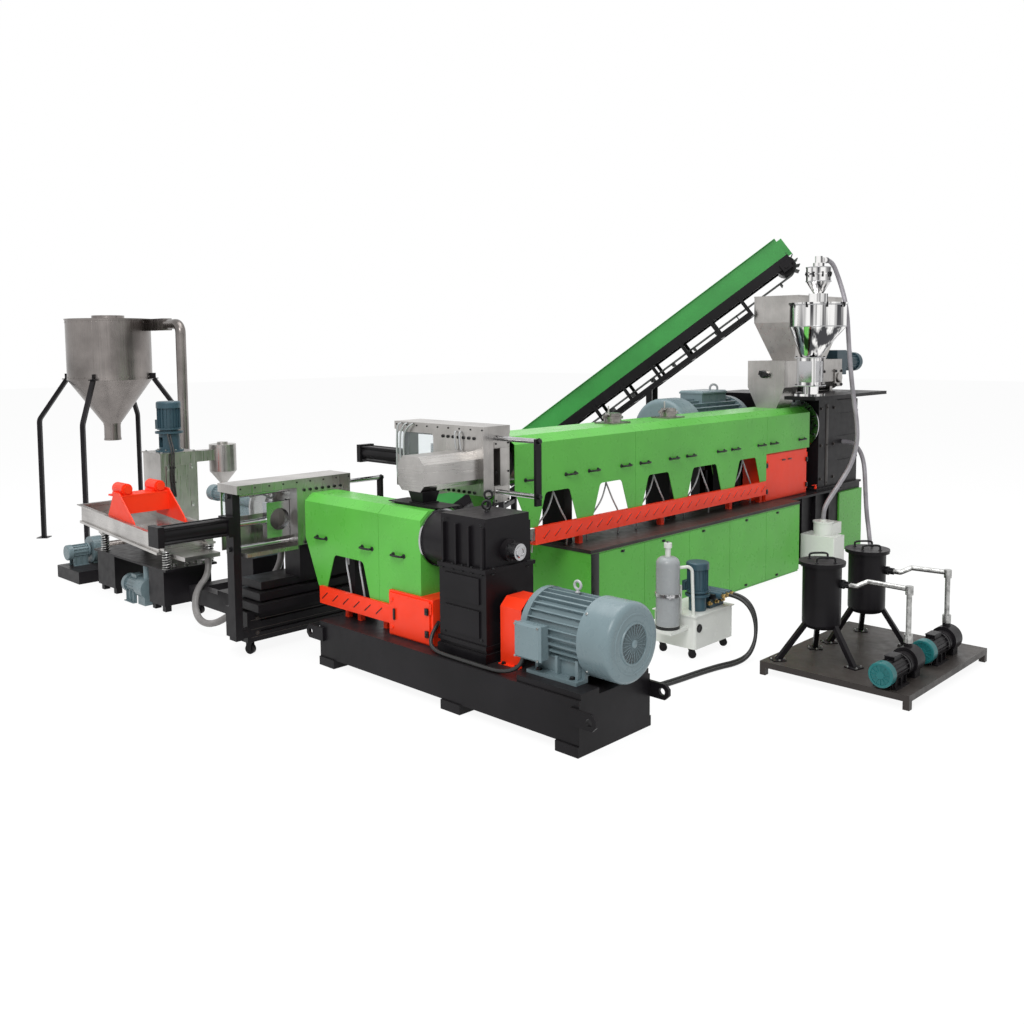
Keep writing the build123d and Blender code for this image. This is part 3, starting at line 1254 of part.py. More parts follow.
def silo_shell():
    """Cyclone silo: thin wall revolved round its axis, with the inlet duct and down pipe."""
    w = SILO_WALL
    outline = Polyline(
        (SILO_OUT_R, 0, SILO_OUT_Z), (SILO_OUT_R, 0, SILO_CONE_Z), (SILO_R, 0, SILO_LOW),
        (SILO_R, 0, SILO_TOP), (SILO_R - w, 0, SILO_TOP), (SILO_R - w, 0, SILO_LOW),
        (SILO_OUT_R - w, 0, SILO_CONE_Z), (SILO_OUT_R - w, 0, SILO_OUT_Z), close=True,
    )
    shell = Pos(SILO_X, SILO_Y, 0) * revolve(make_face(outline.edges()), axis=Axis.Z)
    wall_y = SILO_Y - SILO_R * 0.7
    duct = block(PIPE_X - 60, PIPE_X + 60, PIPE_Y + 330, wall_y, PIPE_Z - 75, PIPE_Z + 75)
    duct += rod_y(PIPE_Y + 150, PIPE_Y + 330, PIPE_X, PIPE_Z, SILO_PIPE_R)
    duct -= Pos(SILO_X, SILO_Y, (SILO_TOP + SILO_LOW) / 2) * Cylinder(SILO_R - 1, SILO_TOP)
    path = FilletPolyline(
        (PIPE_X, PIPE_Y + 160, PIPE_Z), (PIPE_X, PIPE_Y, PIPE_Z), (PIPE_X, PIPE_Y, FAN_Z),
        (160, FAN_Y, FAN_Z), (FAN_OUT_X, FAN_Y, FAN_Z), radius=110,
    )
    section = Plane(origin=path @ 0, z_dir=path % 0) * Circle(SILO_PIPE_R)
    pipe = sweep(section, path)
    return shell + duct + pipe


def silo_roof():
    r = SILO_R
    roof_plate = rod_z(SILO_TOP, SILO_TOP + 8, SILO_X, SILO_Y, r + 12)
    roof_plate += rod_z(SILO_TOP + 8, SILO_TOP + 52, SILO_X, SILO_Y, 200)
    roof_plate -= rod_z(SILO_TOP - 5, SILO_TOP + 60, SILO_X, SILO_Y, 190)
    return roof_plate


def silo_legs():
    out = []
    knee = SILO_R + LEG_OUT
    for step in range(4):
        angle = -135 + 90 * step
        lug = block(SILO_R - 1, SILO_R + 90, -45, 45, SILO_LOW + 1, SILO_LOW + 12)
        lug += block(SILO_R - 1, SILO_R + 70, -5, 5, SILO_LOW + 12, SILO_LOW + 76)
        lug -= rod_z(SILO_LOW, SILO_LOW + 100, 0, 0, SILO_R + SEAT)
        path = FilletPolyline(
            (SILO_R + 45, 0, SILO_LOW + 2), (knee, 0, KNEE_Z), (knee + 10, 0, 0), radius=120
        )
        section = Plane(origin=path @ 0, z_dir=path % 0) * Rectangle(50, 50)
        leg = sweep(section, path) - block(-4000, 4000, -300, 300, -300, 0)
        leg += lug
        leg += block(knee - 60, knee + 80, -70, 70, 0, 10)
        out.append(Pos(SILO_X, SILO_Y, 0) * Rot(0, 0, angle) * leg)
    return out


# Hydraulic unit

ACC_X = 1560.0
ACC_Y = -430.0
ACC_R = 93.0
ACC_LOW = 262.0
ACC_TOP = 830.0


def hydraulic_tank():
    """Oil tank with the gas bottle on its bracket and the bent pipe between them."""
    x0, x1, y0, y1 = OIL
    tank = block(x0, x1, y0, y1, OIL_LOW, OIL_TOP)
    tank = fillet(tank.edges().filter_by(Axis.Z), 24)
    tank += block(x0 - 8, x1 + 8, y0 - 8, y1 + 8, OIL_TOP - 8, OIL_TOP)
    tank += block(ACC_X - 110, x0 + 10, ACC_Y - 110, ACC_Y + 110, ACC_LOW - 22, ACC_LOW)
    bottle = rod_z(ACC_LOW, ACC_TOP, ACC_X, ACC_Y, ACC_R)
    bottle = fillet(bottle.edges().sort_by(Axis.Z)[-1], 55)
    bottle += rod_z(ACC_TOP - 4, ACC_TOP + 70, ACC_X, ACC_Y, 22)
    bottle += rod_z(ACC_TOP + 70, ACC_TOP + 108, ACC_X, ACC_Y, 32)
    bottle += rod_z(520, 545, ACC_X, ACC_Y, ACC_R + 7)
    bottle += block(ACC_X + 60, x0 + 4, ACC_Y - 12, ACC_Y + 12, 522, 543)
    bottle += block(x0 + 2, x0 + 22, ACC_Y - 30, ACC_Y + 30, OIL_TOP, 580)
    path = FilletPolyline(
        (ACC_X + 60, ACC_Y - 60, 740), (1730, -540, 740), (1740, -550, OIL_TOP - 1), radius=50
    )
    section = Plane(origin=path @ 0, z_dir=path % 0) * Circle(13)
    return tank + bottle + sweep(section, path)


def hydraulic_motor():
    x, y = 1900.0, -480.0
    body = rod_z(OIL_TOP, OIL_TOP + 130, x, y, 70)
    body += rod_z(OIL_TOP + 118, OIL_TOP + 134, x, y, 100)
    body += Pos(x, y, OIL_TOP + 134 + 260) * Rot(0, 90, 0) * motor(260, 88, 92, 0, 16, "side")
    body += block(x + 90, x + 290, y - 60, y + 60, OIL_TOP, OIL_TOP + 90)
    for step in range(3):
        xs = x + 110 + step * 62
        body += rod_y(y - 150, y + 130, xs + 20, OIL_TOP + 112, 26)
    body += block(x + 60, x + 100, y - 20, y + 20, OIL_TOP, OIL_TOP + 70)
    return body


# Vacuum unit

TABLE = (1755.0, 3222.0, -2272.0, -1135.0)
TABLE_TOP = 104.0
TANKS = (
    ((2140.0, -1430.0), ((1864, -1223), (2069, -1730), (2322, -1290))),
    ((2800.0, -1480.0), ((2539, -1298), (2861, -1779), (3021, -1336))),
)
TANK_R = 143.0
TANK_LOW = 340.0
TANK_TOP = 835.0
PUMPS = ((1730.0, -2080.0), (2440.0, -2080.0))
PUMP_Z = 212.0
PUMP_L = 330.0


def vacuum_table():
    x0, x1, y0, y1 = TABLE
    table = block(x0, x1, y0, y1, TABLE_TOP - 6, TABLE_TOP)
    for y in (y0, y1 - 46, (y0 + y1) / 2 - 23):
        table += block(x0, x1, y, y + 46, TABLE_TOP - 46, TABLE_TOP - 6)
    for x in (x0, x1 - 46):
        table += block(x, x + 46, y0, y1, TABLE_TOP - 46, TABLE_TOP - 6)
        for y in (y0, y1 - 46):
            table += block(x, x + 46, y, y + 46, 0, TABLE_TOP - 46)
    return table


def vacuum_tanks():
    out = []
    for (x, y), feet in TANKS:
        body = rod_z(TANK_LOW, TANK_TOP, x, y, TANK_R)
        body = fillet(body.edges().sort_by(Axis.Z)[0], 45)
        body += rod_z(TANK_TOP - 14, TANK_TOP, x, y, TANK_R + 26)
        body += rod_z(TANK_TOP, TANK_TOP + 14, x, y, TANK_R + 29)
        for fx, fy in feet:
            turn = math.degrees(math.atan2(fy - y, fx - x))
            reach = math.hypot(fx - x, fy - y)
            path = Polyline((TANK_R - 22, 0, TANK_LOW + 40), (reach, 0, TABLE_TOP))
            section = Plane(origin=path @ 0, z_dir=path % 0) * Rectangle(36, 36)
            leg = sweep(section, path) - block(-900, 900, -200, 200, TABLE_TOP - 200, TABLE_TOP)
            leg += block(reach - 50, reach + 50, -50, 50, TABLE_TOP, TABLE_TOP + 8)
            body += Pos(x, y, 0) * Rot(0, 0, turn) * leg
        body += rod_y(y - TANK_R - 60, y - TANK_R + 10, x + 20, 690, 24)
        body += rod_x(x + TANK_R - 10, x + TANK_R + 60, y, 700, 27)
        out.append(body)
    return out


def vacuum_pumps():
    out = []
    for x, y in PUMPS:
        h = PUMP_Z - TABLE_TOP
        pump = Pos(x, y, PUMP_Z) * motor(PUMP_L, 84, 88, h, 16, "top")
        pump += rod_x(x + PUMP_L, x + PUMP_L + 60, y, PUMP_Z, 80)
        pump += rod_x(x + PUMP_L + 60, x + PUMP_L + 190, y, PUMP_Z + 8, 98)
        pump += rod_x(x + PUMP_L + 190, x + PUMP_L + 220, y, PUMP_Z + 8, 60)
        pump += rod_z(PUMP_Z, PUMP_Z + 130, x + PUMP_L + 120, y, 30)
        pump += block(x + PUMP_L + 80, x + PUMP_L + 170, y - 70, y + 70, TABLE_TOP, PUMP_Z)
        out.append(pump)
    return out


def vacuum_pipes():
    out = []
    for ((x, y), feet), (px, py) in zip(TANKS, PUMPS):
        start = (x + 20, y - TANK_R - 60, 690)
        down_x = px + PUMP_L + 120
        path = FilletPolyline(
            start,
            (x + 20, y - TANK_R - 120, 690),
            (x + 60, y - TANK_R - 190, 730),
            (down_x, py, 730),
            (down_x, py, PUMP_Z + 130),
            radius=26,
        )
        section = Plane(origin=path @ 0, z_dir=path % 0) * Circle(19)
        pipe = sweep(section, path)
        pipe += rod_z(PUMP_Z + 130, PUMP_Z + 190, down_x, py, 32)
        pipe += rod_z(690, 752, down_x, py, 28)
        out.append(pipe)
    return out


# Vacuum loader

BLOWER = (5310.0, 5560.0, 40.0, 440.0)
BLOWER_Z = 370.0


def loader_blower():
    x0, x1, y0, y1 = BLOWER
    body = block(x0, x1, y0, y1, 20, BLOWER_Z)
    body = fillet(body.edges().filter_by(Axis.Z), 12)
    for x in (x0 + 10, x1 - 50):
        for y in (y0 + 10, y1 - 50):
            body += block(x, x + 40, y, y + 40, 0, 20)
    body += rod_z(BLOWER_Z, 520, 5430, 230, 104)
    body += rod_z(505, 522, 5430, 230, 112)
    body += rod_z(522, 540, 5430, 230, 34)
    body += block(5440, 5640, 120, 260, BLOWER_Z, 500)
    return body


# Hoses: each route is a list of points chosen along the real run

HOSES = {
    "hose_loader": (25.0, [
        (5600, 330, 3388), (5655, 330, 3388), (5740, 318, 3345), (5785, 290, 3230), (5792, 240, 3085),
        (5776, 185, 2920), (5764, 150, 2710), (5758, 132, 2480), (5762, 105, 2180), (5772, 72, 1880),
        (5780, 28, 1610), (5764, 10, 1370), (5710, 50, 1140), (5620, 125, 950), (5530, 185, 800),
        (5465, 220, 700), (5430, 230, 610), (5430, 230, 540),
    ]),
    "hose_vacuum": (25.0, [
        (6560, 574, 1300), (6560, 500, 1300), (6545, 400, 1270), (6510, 310, 1180), (6465, 250, 1050),
        (6420, 215, 880), (6395, 192, 680), (6385, 170, 480), (6360, 130, 300), (6290, 80, 160),
        (6170, 10, 70), (6000, -60, 30), (5500, -250, 27), (4850, -560, 27), (4250, -800, 27),
        (3850, -985, 40), (3610, -1110, 130), (3450, -1200, 290), (3340, -1290, 450),
        (3250, -1380, 580), (3170, -1450, 670), (3085, -1480, 700), (3003, -1480, 700),
    ]),
    "hose_sieve": (30.0, [
        (-125, 3640, 520), (-125, 3640, 470), (-150, 3610, 385), (-215, 3555, 325), (-310, 3480, 295),
        (-405, 3380, 245), (-480, 3265, 170), (-525, 3130, 100), (-530, 2990, 75), (-500, 2860, 100),
        (-440, 2755, 170), (-355, 2680, 265), (-260, 2630, 355), (-150, 2600, 430), (-60, 2590, 515),
        (-8, 2590, 620), (0, 2590, 690), (0, 2590, 735),
    ]),
    "hose_hydraulic": (14.0, [
        (2154, -630, 462), (2154, -700, 462), (2160, -790, 425), (2162, -850, 340), (2140, -880, 220),
        (2080, -895, 110), (1980, -895, 40), (1850, -870, 16), (1680, -820, 15), (1450, -790, 15),
        (1220, -770, 15), (1000, -740, 15), (780, -715, 18), (640, -704, 55), (530, -701, 125),
        (440, -700, 170), (356, -700, 170),
    ]),
}


def hose(radius, points):
    radii = []
    runs = [math.dist(a, b) for a, b in zip(points, points[1:])]
    for k in range(1, len(points) - 1):
        a, b, c = (Vector(*points[k + j]) for j in (-1, 0, 1))
        turn = math.radians((b - a).get_angle(c - b))
        radii.append(0.45 * min(runs[k - 1], runs[k]) / math.tan(turn / 2))
    path = FilletPolyline(*points, radius=radii)
    section = Plane(origin=path @ 0, z_dir=path % 0) * Circle(radius)
    tube = sweep(section, path)
    ideal = math.pi * radius ** 2 * path.length
    print("hose", round(path.length), "volume", round(tube.volume / ideal, 4),
          "radii", [round(r / radius / 2, 1) for r in radii])
    return tube


for hose_name, (hose_r, route) in HOSES.items():
    save(hose_name, hose(hose_r, route))


save("base_two", base_two())
save("gearbox_two", gearbox_two())
save("steel_rings", *steel_rings())
save("barrels", *barrels())
save("barrel_supports", *barrel_supports())
save("cover_two", *cover_two())
save("cover_one", *cover_one())
save("skirts", *skirts())
save("electric_boxes", *electric_boxes())
save("door_one", door_one())
save("door_two", door_two())
save("changer_bodies", *on_both(changer_body(), changer_body()))
save("changer_frames", *on_both(changer_frame(-1), changer_frame(1)))
save("changer_glass", *on_both(changer_glass(-1), changer_glass(1)))
save("tie_frames", *[at * f for at in (HEAD1, HEAD2) for f in tie_frames()])
save("changer_cylinders", *on_both(changer_cylinder(), changer_cylinder()))
save("slide_one", HEAD1 * changer_slide())
save("slide_two", HEAD2 * changer_slide())
save("motor_two", motor_two())
save("coupling_guard", coupling_guard())
save("motor_one", motor_one())
save("cabinet", *cabinet())
save("deck", deck())
save("drive_stand", *drive_stand())
save("gearbox_one", gearbox_one())
save("vent_ports", *vent_ports())
save("transfer_duct", transfer_duct())
save("melt_funnel", melt_funnel())
save("die_hood", die_hood())
save("cutter_motor", cutter_motor())
save("trolley", trolley())
save("casters", *casters())
save("feeder_trough", feeder_trough())
save("feed_hopper", feed_hopper())
save("dosing_hopper", dosing_hopper())
save("feeder_drive", feeder_drive())
save("conveyor_sides", *conveyor_sides())
save("conveyor_belt", conveyor_belt())
save("conveyor_frame", conveyor_frame())
save("dewatering_casing", dewatering_casing())
save("dewatering_motor", dewatering_motor())
save("sieve_base", *sieve_base())
save("sieve_tray", sieve_tray())
save("sieve_exciter", sieve_exciter())
save("sieve_pumps", *sieve_pumps())
save("silo_shell", silo_shell())
save("silo_roof", silo_roof())
save("silo_legs", *silo_legs())
save("hydraulic_tank", hydraulic_tank())
save("hydraulic_motor", hydraulic_motor())
save("vacuum_table", vacuum_table())
save("vacuum_tanks", *vacuum_tanks())
save("vacuum_pumps", *vacuum_pumps())
save("vacuum_pipes", *vacuum_pipes())
save("loader_blower", loader_blower())
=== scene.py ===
# %% [markdown]
# # A two-stage plastic pelletizing line
# Plastic film and flakes ride up a belt, melt in a long first extruder, drop into a second one,
# and leave it as pellets that are shaken dry and blown into a silo. The metal shapes come in
# as a fixed frame of named parts. This notebook adds finishes, small fittings, light and a camera.

# %% Load the frame
import math

import bmesh
import bpy
from mathutils import Matrix, Vector


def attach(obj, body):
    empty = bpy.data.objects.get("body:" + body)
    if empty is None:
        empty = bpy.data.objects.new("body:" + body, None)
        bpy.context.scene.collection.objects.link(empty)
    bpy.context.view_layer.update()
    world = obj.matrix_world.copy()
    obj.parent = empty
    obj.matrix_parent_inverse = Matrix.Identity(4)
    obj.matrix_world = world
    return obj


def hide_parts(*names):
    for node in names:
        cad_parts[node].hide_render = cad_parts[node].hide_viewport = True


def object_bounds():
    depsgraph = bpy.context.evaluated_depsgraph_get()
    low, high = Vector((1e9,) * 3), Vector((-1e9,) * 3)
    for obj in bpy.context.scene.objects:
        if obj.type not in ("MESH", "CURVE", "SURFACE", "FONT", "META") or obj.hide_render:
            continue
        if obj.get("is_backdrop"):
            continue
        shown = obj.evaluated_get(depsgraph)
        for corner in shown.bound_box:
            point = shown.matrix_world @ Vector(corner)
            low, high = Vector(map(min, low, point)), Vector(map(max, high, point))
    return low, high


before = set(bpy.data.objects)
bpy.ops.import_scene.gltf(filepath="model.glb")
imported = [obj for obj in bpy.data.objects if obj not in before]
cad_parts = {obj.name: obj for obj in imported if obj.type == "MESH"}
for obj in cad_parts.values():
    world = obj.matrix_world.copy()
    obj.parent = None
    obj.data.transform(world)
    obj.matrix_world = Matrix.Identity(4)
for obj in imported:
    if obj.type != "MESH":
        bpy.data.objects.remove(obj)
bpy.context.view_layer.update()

# %% [markdown]
# ## The camera
# The picture was taken by someone standing on a low platform in front of the second
# extruder's motor, with a normal lens. Its place and turn are written as four vectors, because a
# matrix made from them can't be misread the way three angles can. The lens looks about five degrees
# down. Its middle line crosses the frame a little above the centre, which a vertical shift gives.

# %% Camera
EYE = Vector((-4.8582, -4.9682, 2.4974))
LOOK = Vector((0.71523, 0.69393, -0.08313))
UP = Vector((0.06533, 0.05204, 0.99651))
SENSOR_MM = 36.0
FOCAL_PIXELS = 1006.56
FRAME_PIXELS = 1024
CENTRE_ROW = 427.97

camera_data = bpy.data.cameras.new("camera")
camera_data.sensor_width = SENSOR_MM
camera_data.lens = SENSOR_MM * FOCAL_PIXELS / FRAME_PIXELS
camera_data.shift_y = (CENTRE_ROW - FRAME_PIXELS / 2) / FRAME_PIXELS
camera_data.clip_end = 200
camera = bpy.data.objects.new("camera", camera_data)
bpy.context.scene.collection.objects.link(camera)
camera_right = LOOK.cross(UP).normalized()
turn = Matrix((camera_right, UP.normalized(), -LOOK.normalized())).transposed()
camera.matrix_world = Matrix.Translation(EYE) @ turn.to_4x4()
bpy.context.scene.camera = camera
print("lens", round(camera_data.lens, 2), "shift", round(camera_data.shift_y, 4))

# %% [markdown]
# ## The hoses
# Four flexible hoses hang between fixed ports. Each one is a smooth spline through the air whose
# control points follow the real run: straight out of its port, down under its own weight, along
# the floor, and up into the next port. A NURBS curve with a round bevel keeps one even thickness.

# %% Hoses
HOSES = {
    "loader_hose": ("hose_loader", 0.025, "limp", [
        (5.600, 0.330, 3.388), (5.655, 0.330, 3.388), (5.740, 0.318, 3.345), (5.785, 0.290, 3.230),
        (5.792, 0.240, 3.085), (5.776, 0.185, 2.920), (5.764, 0.150, 2.710), (5.758, 0.132, 2.480),
        (5.762, 0.105, 2.180), (5.772, 0.072, 1.880), (5.780, 0.028, 1.610), (5.764, 0.010, 1.370),
        (5.710, 0.050, 1.140), (5.620, 0.125, 0.950), (5.530, 0.185, 0.800), (5.465, 0.220, 0.700),
        (5.430, 0.230, 0.610), (5.430, 0.230, 0.540),
    ]),
    "vacuum_hose": ("hose_vacuum", 0.025, "medium", [
        (6.560, 0.574, 1.300), (6.560, 0.500, 1.300), (6.545, 0.400, 1.270), (6.510, 0.310, 1.180),
        (6.465, 0.250, 1.050), (6.420, 0.215, 0.880), (6.395, 0.192, 0.680), (6.385, 0.170, 0.480),
        (6.360, 0.130, 0.300), (6.290, 0.080, 0.160), (6.170, 0.010, 0.070), (6.000, -0.060, 0.030),
        (5.500, -0.250, 0.027), (4.850, -0.560, 0.027), (4.250, -0.800, 0.027),
        (3.850, -0.985, 0.040), (3.610, -1.110, 0.130), (3.450, -1.200, 0.290),
        (3.340, -1.290, 0.450), (3.250, -1.380, 0.580), (3.170, -1.450, 0.670),
        (3.085, -1.480, 0.700), (3.003, -1.480, 0.700),
    ]),
    "sieve_hose": ("hose_sieve", 0.030, "medium", [
        (-0.125, 3.640, 0.520), (-0.125, 3.640, 0.470), (-0.150, 3.610, 0.385),
        (-0.215, 3.555, 0.325), (-0.310, 3.480, 0.295), (-0.405, 3.380, 0.245),
        (-0.480, 3.265, 0.170), (-0.525, 3.130, 0.100), (-0.530, 2.990, 0.075),
        (-0.500, 2.860, 0.100), (-0.440, 2.755, 0.170), (-0.355, 2.680, 0.265),
        (-0.260, 2.630, 0.355), (-0.150, 2.600, 0.430), (-0.060, 2.590, 0.515),
        (-0.008, 2.590, 0.620), (0.000, 2.590, 0.690), (0.000, 2.590, 0.735),
    ]),
    "hydraulic_hose": ("hose_hydraulic", 0.014, "medium", [
        (2.154, -0.630, 0.462), (2.154, -0.700, 0.462), (2.160, -0.790, 0.425),
        (2.162, -0.850, 0.340), (2.140, -0.880, 0.220), (2.080, -0.895, 0.110),
        (1.980, -0.895, 0.040), (1.850, -0.870, 0.016), (1.680, -0.820, 0.015),
        (1.450, -0.790, 0.015), (1.220, -0.770, 0.015), (1.000, -0.740, 0.015),
        (0.780, -0.715, 0.018), (0.640, -0.704, 0.055), (0.530, -0.701, 0.125),
        (0.440, -0.700, 0.170), (0.356, -0.700, 0.170),
    ]),
}


def run_curve(name, points, radius):
    curve = bpy.data.curves.new(name, "CURVE")
    curve.dimensions = "3D"
    curve.bevel_depth = 1.0
    curve.bevel_resolution = 5
    curve.resolution_u = 8
    curve.use_fill_caps = True
    spline = curve.splines.new("NURBS")
    spline.points.add(len(points) - 1)
    for control, place in zip(spline.points, points):
        control.co = (*place, 1)
        control.radius = radius
    spline.order_u = 3
    spline.use_endpoint_u = True
    piece = bpy.data.objects.new(name, curve)
    bpy.context.scene.collection.objects.link(piece)
    return piece


for name, (node, radius, give, route) in HOSES.items():
    hose = run_curve(name, route, radius)
    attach(hose, "root")
    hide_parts(node)
    print(name, len(route), "control points")

# %% [markdown]
# ## Floor, backdrop and light
# The machine stands in a white studio. A pale floor catches soft contact shadows. The backdrop is
# white by its own colour, seen by the camera and by reflections alone, so it puts no extra light
# on the paint. Two large soft lamps and a dim even sky give the forms a light and a shaded side.

# %% Floor
FLOOR_HALF = 60.0
FLOOR_WHITE = 0.86
FLOOR_HIGH = -0.002
FLOOR_GLOW = 1.06
FLOOR_SHARE = 0.86


def light_path_rays(tree, *rays):
    """A value that is 1 for a ray of any of the given kinds."""
    path = tree.nodes.new("ShaderNodeLightPath")
    value = path.outputs[rays[0]]
    for ray in rays[1:]:
        join = tree.nodes.new("ShaderNodeMath")
        join.operation = "MAXIMUM"
        tree.links.new(value, join.inputs[0])
        tree.links.new(path.outputs[ray], join.inputs[1])
        value = join.outputs[0]
    return value


floor_mesh = bpy.data.meshes.new("floor")
corners = [(x * FLOOR_HALF, y * FLOOR_HALF, FLOOR_HIGH)
           for x, y in ((-1, -1), (1, -1), (1, 1), (-1, 1))]
floor_mesh.from_pydata(corners, [], [(0, 1, 2, 3)])
floor = bpy.data.objects.new("floor", floor_mesh)
bpy.context.scene.collection.objects.link(floor)
floor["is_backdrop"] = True
floor_paint = bpy.data.materials.new("studio_floor")
floor_paint.use_nodes = True
tree = floor_paint.node_tree
matte = tree.nodes["Principled BSDF"]
matte.inputs["Base Color"].default_value = (FLOOR_WHITE, FLOOR_WHITE, FLOOR_WHITE, 1)
matte.inputs["Roughness"].default_value = 0.9
matte.inputs["Specular IOR Level"].default_value = 0.0
white = tree.nodes.new("ShaderNodeEmission")
white.inputs["Strength"].default_value = FLOOR_GLOW
seen = light_path_rays(tree, "Is Camera Ray", "Is Glossy Ray", "Is Transmission Ray")
share = tree.nodes.new("ShaderNodeMath")
share.operation = "MULTIPLY"
share.inputs[1].default_value = FLOOR_SHARE
tree.links.new(seen, share.inputs[0])
mix = tree.nodes.new("ShaderNodeMixShader")
tree.links.new(share.outputs[0], mix.inputs["Fac"])
tree.links.new(matte.outputs[0], mix.inputs[1])
tree.links.new(white.outputs[0], mix.inputs[2])
tree.links.new(mix.outputs[0], tree.nodes["Material Output"].inputs["Surface"])
floor_mesh.materials.append(floor_paint)

# %% Sky and lamps
SKY = 0.50
world = bpy.data.worlds.new("studio")
bpy.context.scene.world = world
world.use_nodes = True
tree = world.node_tree
even = tree.nodes["Background"]
even.inputs["Color"].default_value = (1, 1, 1, 1)
even.inputs["Strength"].default_value = SKY
backdrop = tree.nodes.new("ShaderNodeBackground")
backdrop.inputs["Color"].default_value = (1, 1, 1, 1)
backdrop.inputs["Strength"].default_value = 1.0
seen = light_path_rays(tree, "Is Camera Ray", "Is Glossy Ray", "Is Transmission Ray")
mix = tree.nodes.new("ShaderNodeMixShader")
tree.links.new(seen, mix.inputs["Fac"])
tree.links.new(even.outputs[0], mix.inputs[1])
tree.links.new(backdrop.outputs[0], mix.inputs[2])
tree.links.new(mix.outputs[0], tree.nodes["World Output"].inputs["Surface"])
scene = bpy.context.scene
scene.view_settings.view_transform = "Standard"


def soft_lamp(name, place, target, size, power):
    data = bpy.data.lights.new(name, "AREA")
    data.shape = "SQUARE"
    data.size = size
    data.energy = power
    lamp = bpy.data.objects.new(name, data)
    scene.collection.objects.link(lamp)
    way = Vector(target) - Vector(place)
    lamp.matrix_world = Matrix.Translation(place) @ way.to_track_quat("-Z", "Y").to_matrix().to_4x4()
    return lamp


soft_lamp("key_lamp", (-7.0, -4.0, 9.5), (2.5, 1.5, 0.5), 6.0, 900)
soft_lamp("top_lamp", (2.0, 3.0, 11.0), (2.5, 3.0, 0.0), 8.0, 700)

# %% [markdown]
# ## Tools for finishes
# Every finish starts as one physically based shader. What makes it look real is small change from
# place to place: tone that wanders, streaks left by a brush, dust, and a fine relief. All of it is
# worked out from the object's own coordinates in metres, so a grain keeps its true size.


# %% Finish tools
def finish(name, colour, rough, metal=0.0):
    material = bpy.data.materials.new(name)
    material.use_nodes = True
    shader = material.node_tree.nodes["Principled BSDF"]
    shader.inputs["Base Color"].default_value = (*colour, 1)
    shader.inputs["Roughness"].default_value = rough
    shader.inputs["Metallic"].default_value = metal
    return material


def grain(material, scale, stretch=(1, 1, 1), detail=4.0, roughness=0.55):
    """Noise in object coordinates; a stretch below 1 draws it out along that axis."""
    tree = material.node_tree
    place = tree.nodes.new("ShaderNodeTexCoord")
    squeeze = tree.nodes.new("ShaderNodeMapping")
    squeeze.inputs["Scale"].default_value = stretch
    noise = tree.nodes.new("ShaderNodeTexNoise")
    noise.inputs["Scale"].default_value = scale
    noise.inputs["Detail"].default_value = detail
    noise.inputs["Roughness"].default_value = roughness
    tree.links.new(place.outputs["Object"], squeeze.inputs["Vector"])
    tree.links.new(squeeze.outputs["Vector"], noise.inputs["Vector"])
    return noise.outputs["Fac"]


def steps(material, value, low, high, first, last):
    """Turns a 0..1 value into a blend between two colours over low..high."""
    ramp = material.node_tree.nodes.new("ShaderNodeValToRGB")
    ramp.color_ramp.elements[0].position = low
    ramp.color_ramp.elements[1].position = high
    ramp.color_ramp.elements[0].color = (*first, 1)
    ramp.color_ramp.elements[1].color = (*last, 1)
    material.node_tree.links.new(value, ramp.inputs["Fac"])
    return ramp.outputs["Color"]


def tones(material, value, first, last, low=0.35, high=0.65):
    """Base colour wanders between two tones."""
    colour = steps(material, value, low, high, first, last)
    shader = material.node_tree.nodes["Principled BSDF"]
    material.node_tree.links.new(colour, shader.inputs["Base Color"])
    return colour


def either_side(colour, spread):
    """A darker and a lighter tone of a colour."""
    darker = tuple(c * (1 - spread) for c in colour)
    lighter = tuple(min(1.0, c * (1 + spread)) for c in colour)
    return darker, lighter


def shine(material, value, low_rough, high_rough, low=0.3, high=0.7):
    """Roughness wanders between two values."""
    reach = material.node_tree.nodes.new("ShaderNodeMapRange")
    reach.inputs["From Min"].default_value = low
    reach.inputs["From Max"].default_value = high
    reach.inputs["To Min"].default_value = low_rough
    reach.inputs["To Max"].default_value = high_rough
    tree = material.node_tree
    tree.links.new(value, reach.inputs["Value"])
    tree.links.new(reach.outputs["Result"], tree.nodes["Principled BSDF"].inputs["Roughness"])


def relief(material, value, strength, depth):
    """Fine bump of a given depth in metres."""
    tree = material.node_tree
    bump = tree.nodes.new("ShaderNodeBump")
    bump.inputs["Strength"].default_value = strength
    bump.inputs["Distance"].default_value = depth
    tree.links.new(value, bump.inputs["Height"])
    tree.links.new(bump.outputs["Normal"], tree.nodes["Principled BSDF"].inputs["Normal"])


def dust_over(material, colour, dust, amount, above=0.2):
    """Dust settles on faces that look up; colour is the socket under it."""
    tree = material.node_tree
    geometry = tree.nodes.new("ShaderNodeNewGeometry")
    split = tree.nodes.new("ShaderNodeSeparateXYZ")
    tree.links.new(geometry.outputs["Normal"], split.inputs["Vector"])
    reach = tree.nodes.new("ShaderNodeMapRange")
    reach.inputs["From Min"].default_value = above
    reach.inputs["From Max"].default_value = 1.0
    reach.inputs["To Max"].default_value = amount
    tree.links.new(split.outputs["Z"], reach.inputs["Value"])
    patchy = tree.nodes.new("ShaderNodeMath")
    patchy.operation = "MULTIPLY"
    tree.links.new(reach.outputs["Result"], patchy.inputs[0])
    tree.links.new(grain(material, 9.0), patchy.inputs[1])
    mix = tree.nodes.new("ShaderNodeMix")
    mix.data_type = "RGBA"
    tree.links.new(patchy.outputs[0], mix.inputs["Factor"])
    tree.links.new(colour, mix.inputs["A"])
    mix.inputs["B"].default_value = (*dust, 1)
    tree.links.new(mix.outputs["Result"], tree.nodes["Principled BSDF"].inputs["Base Color"])


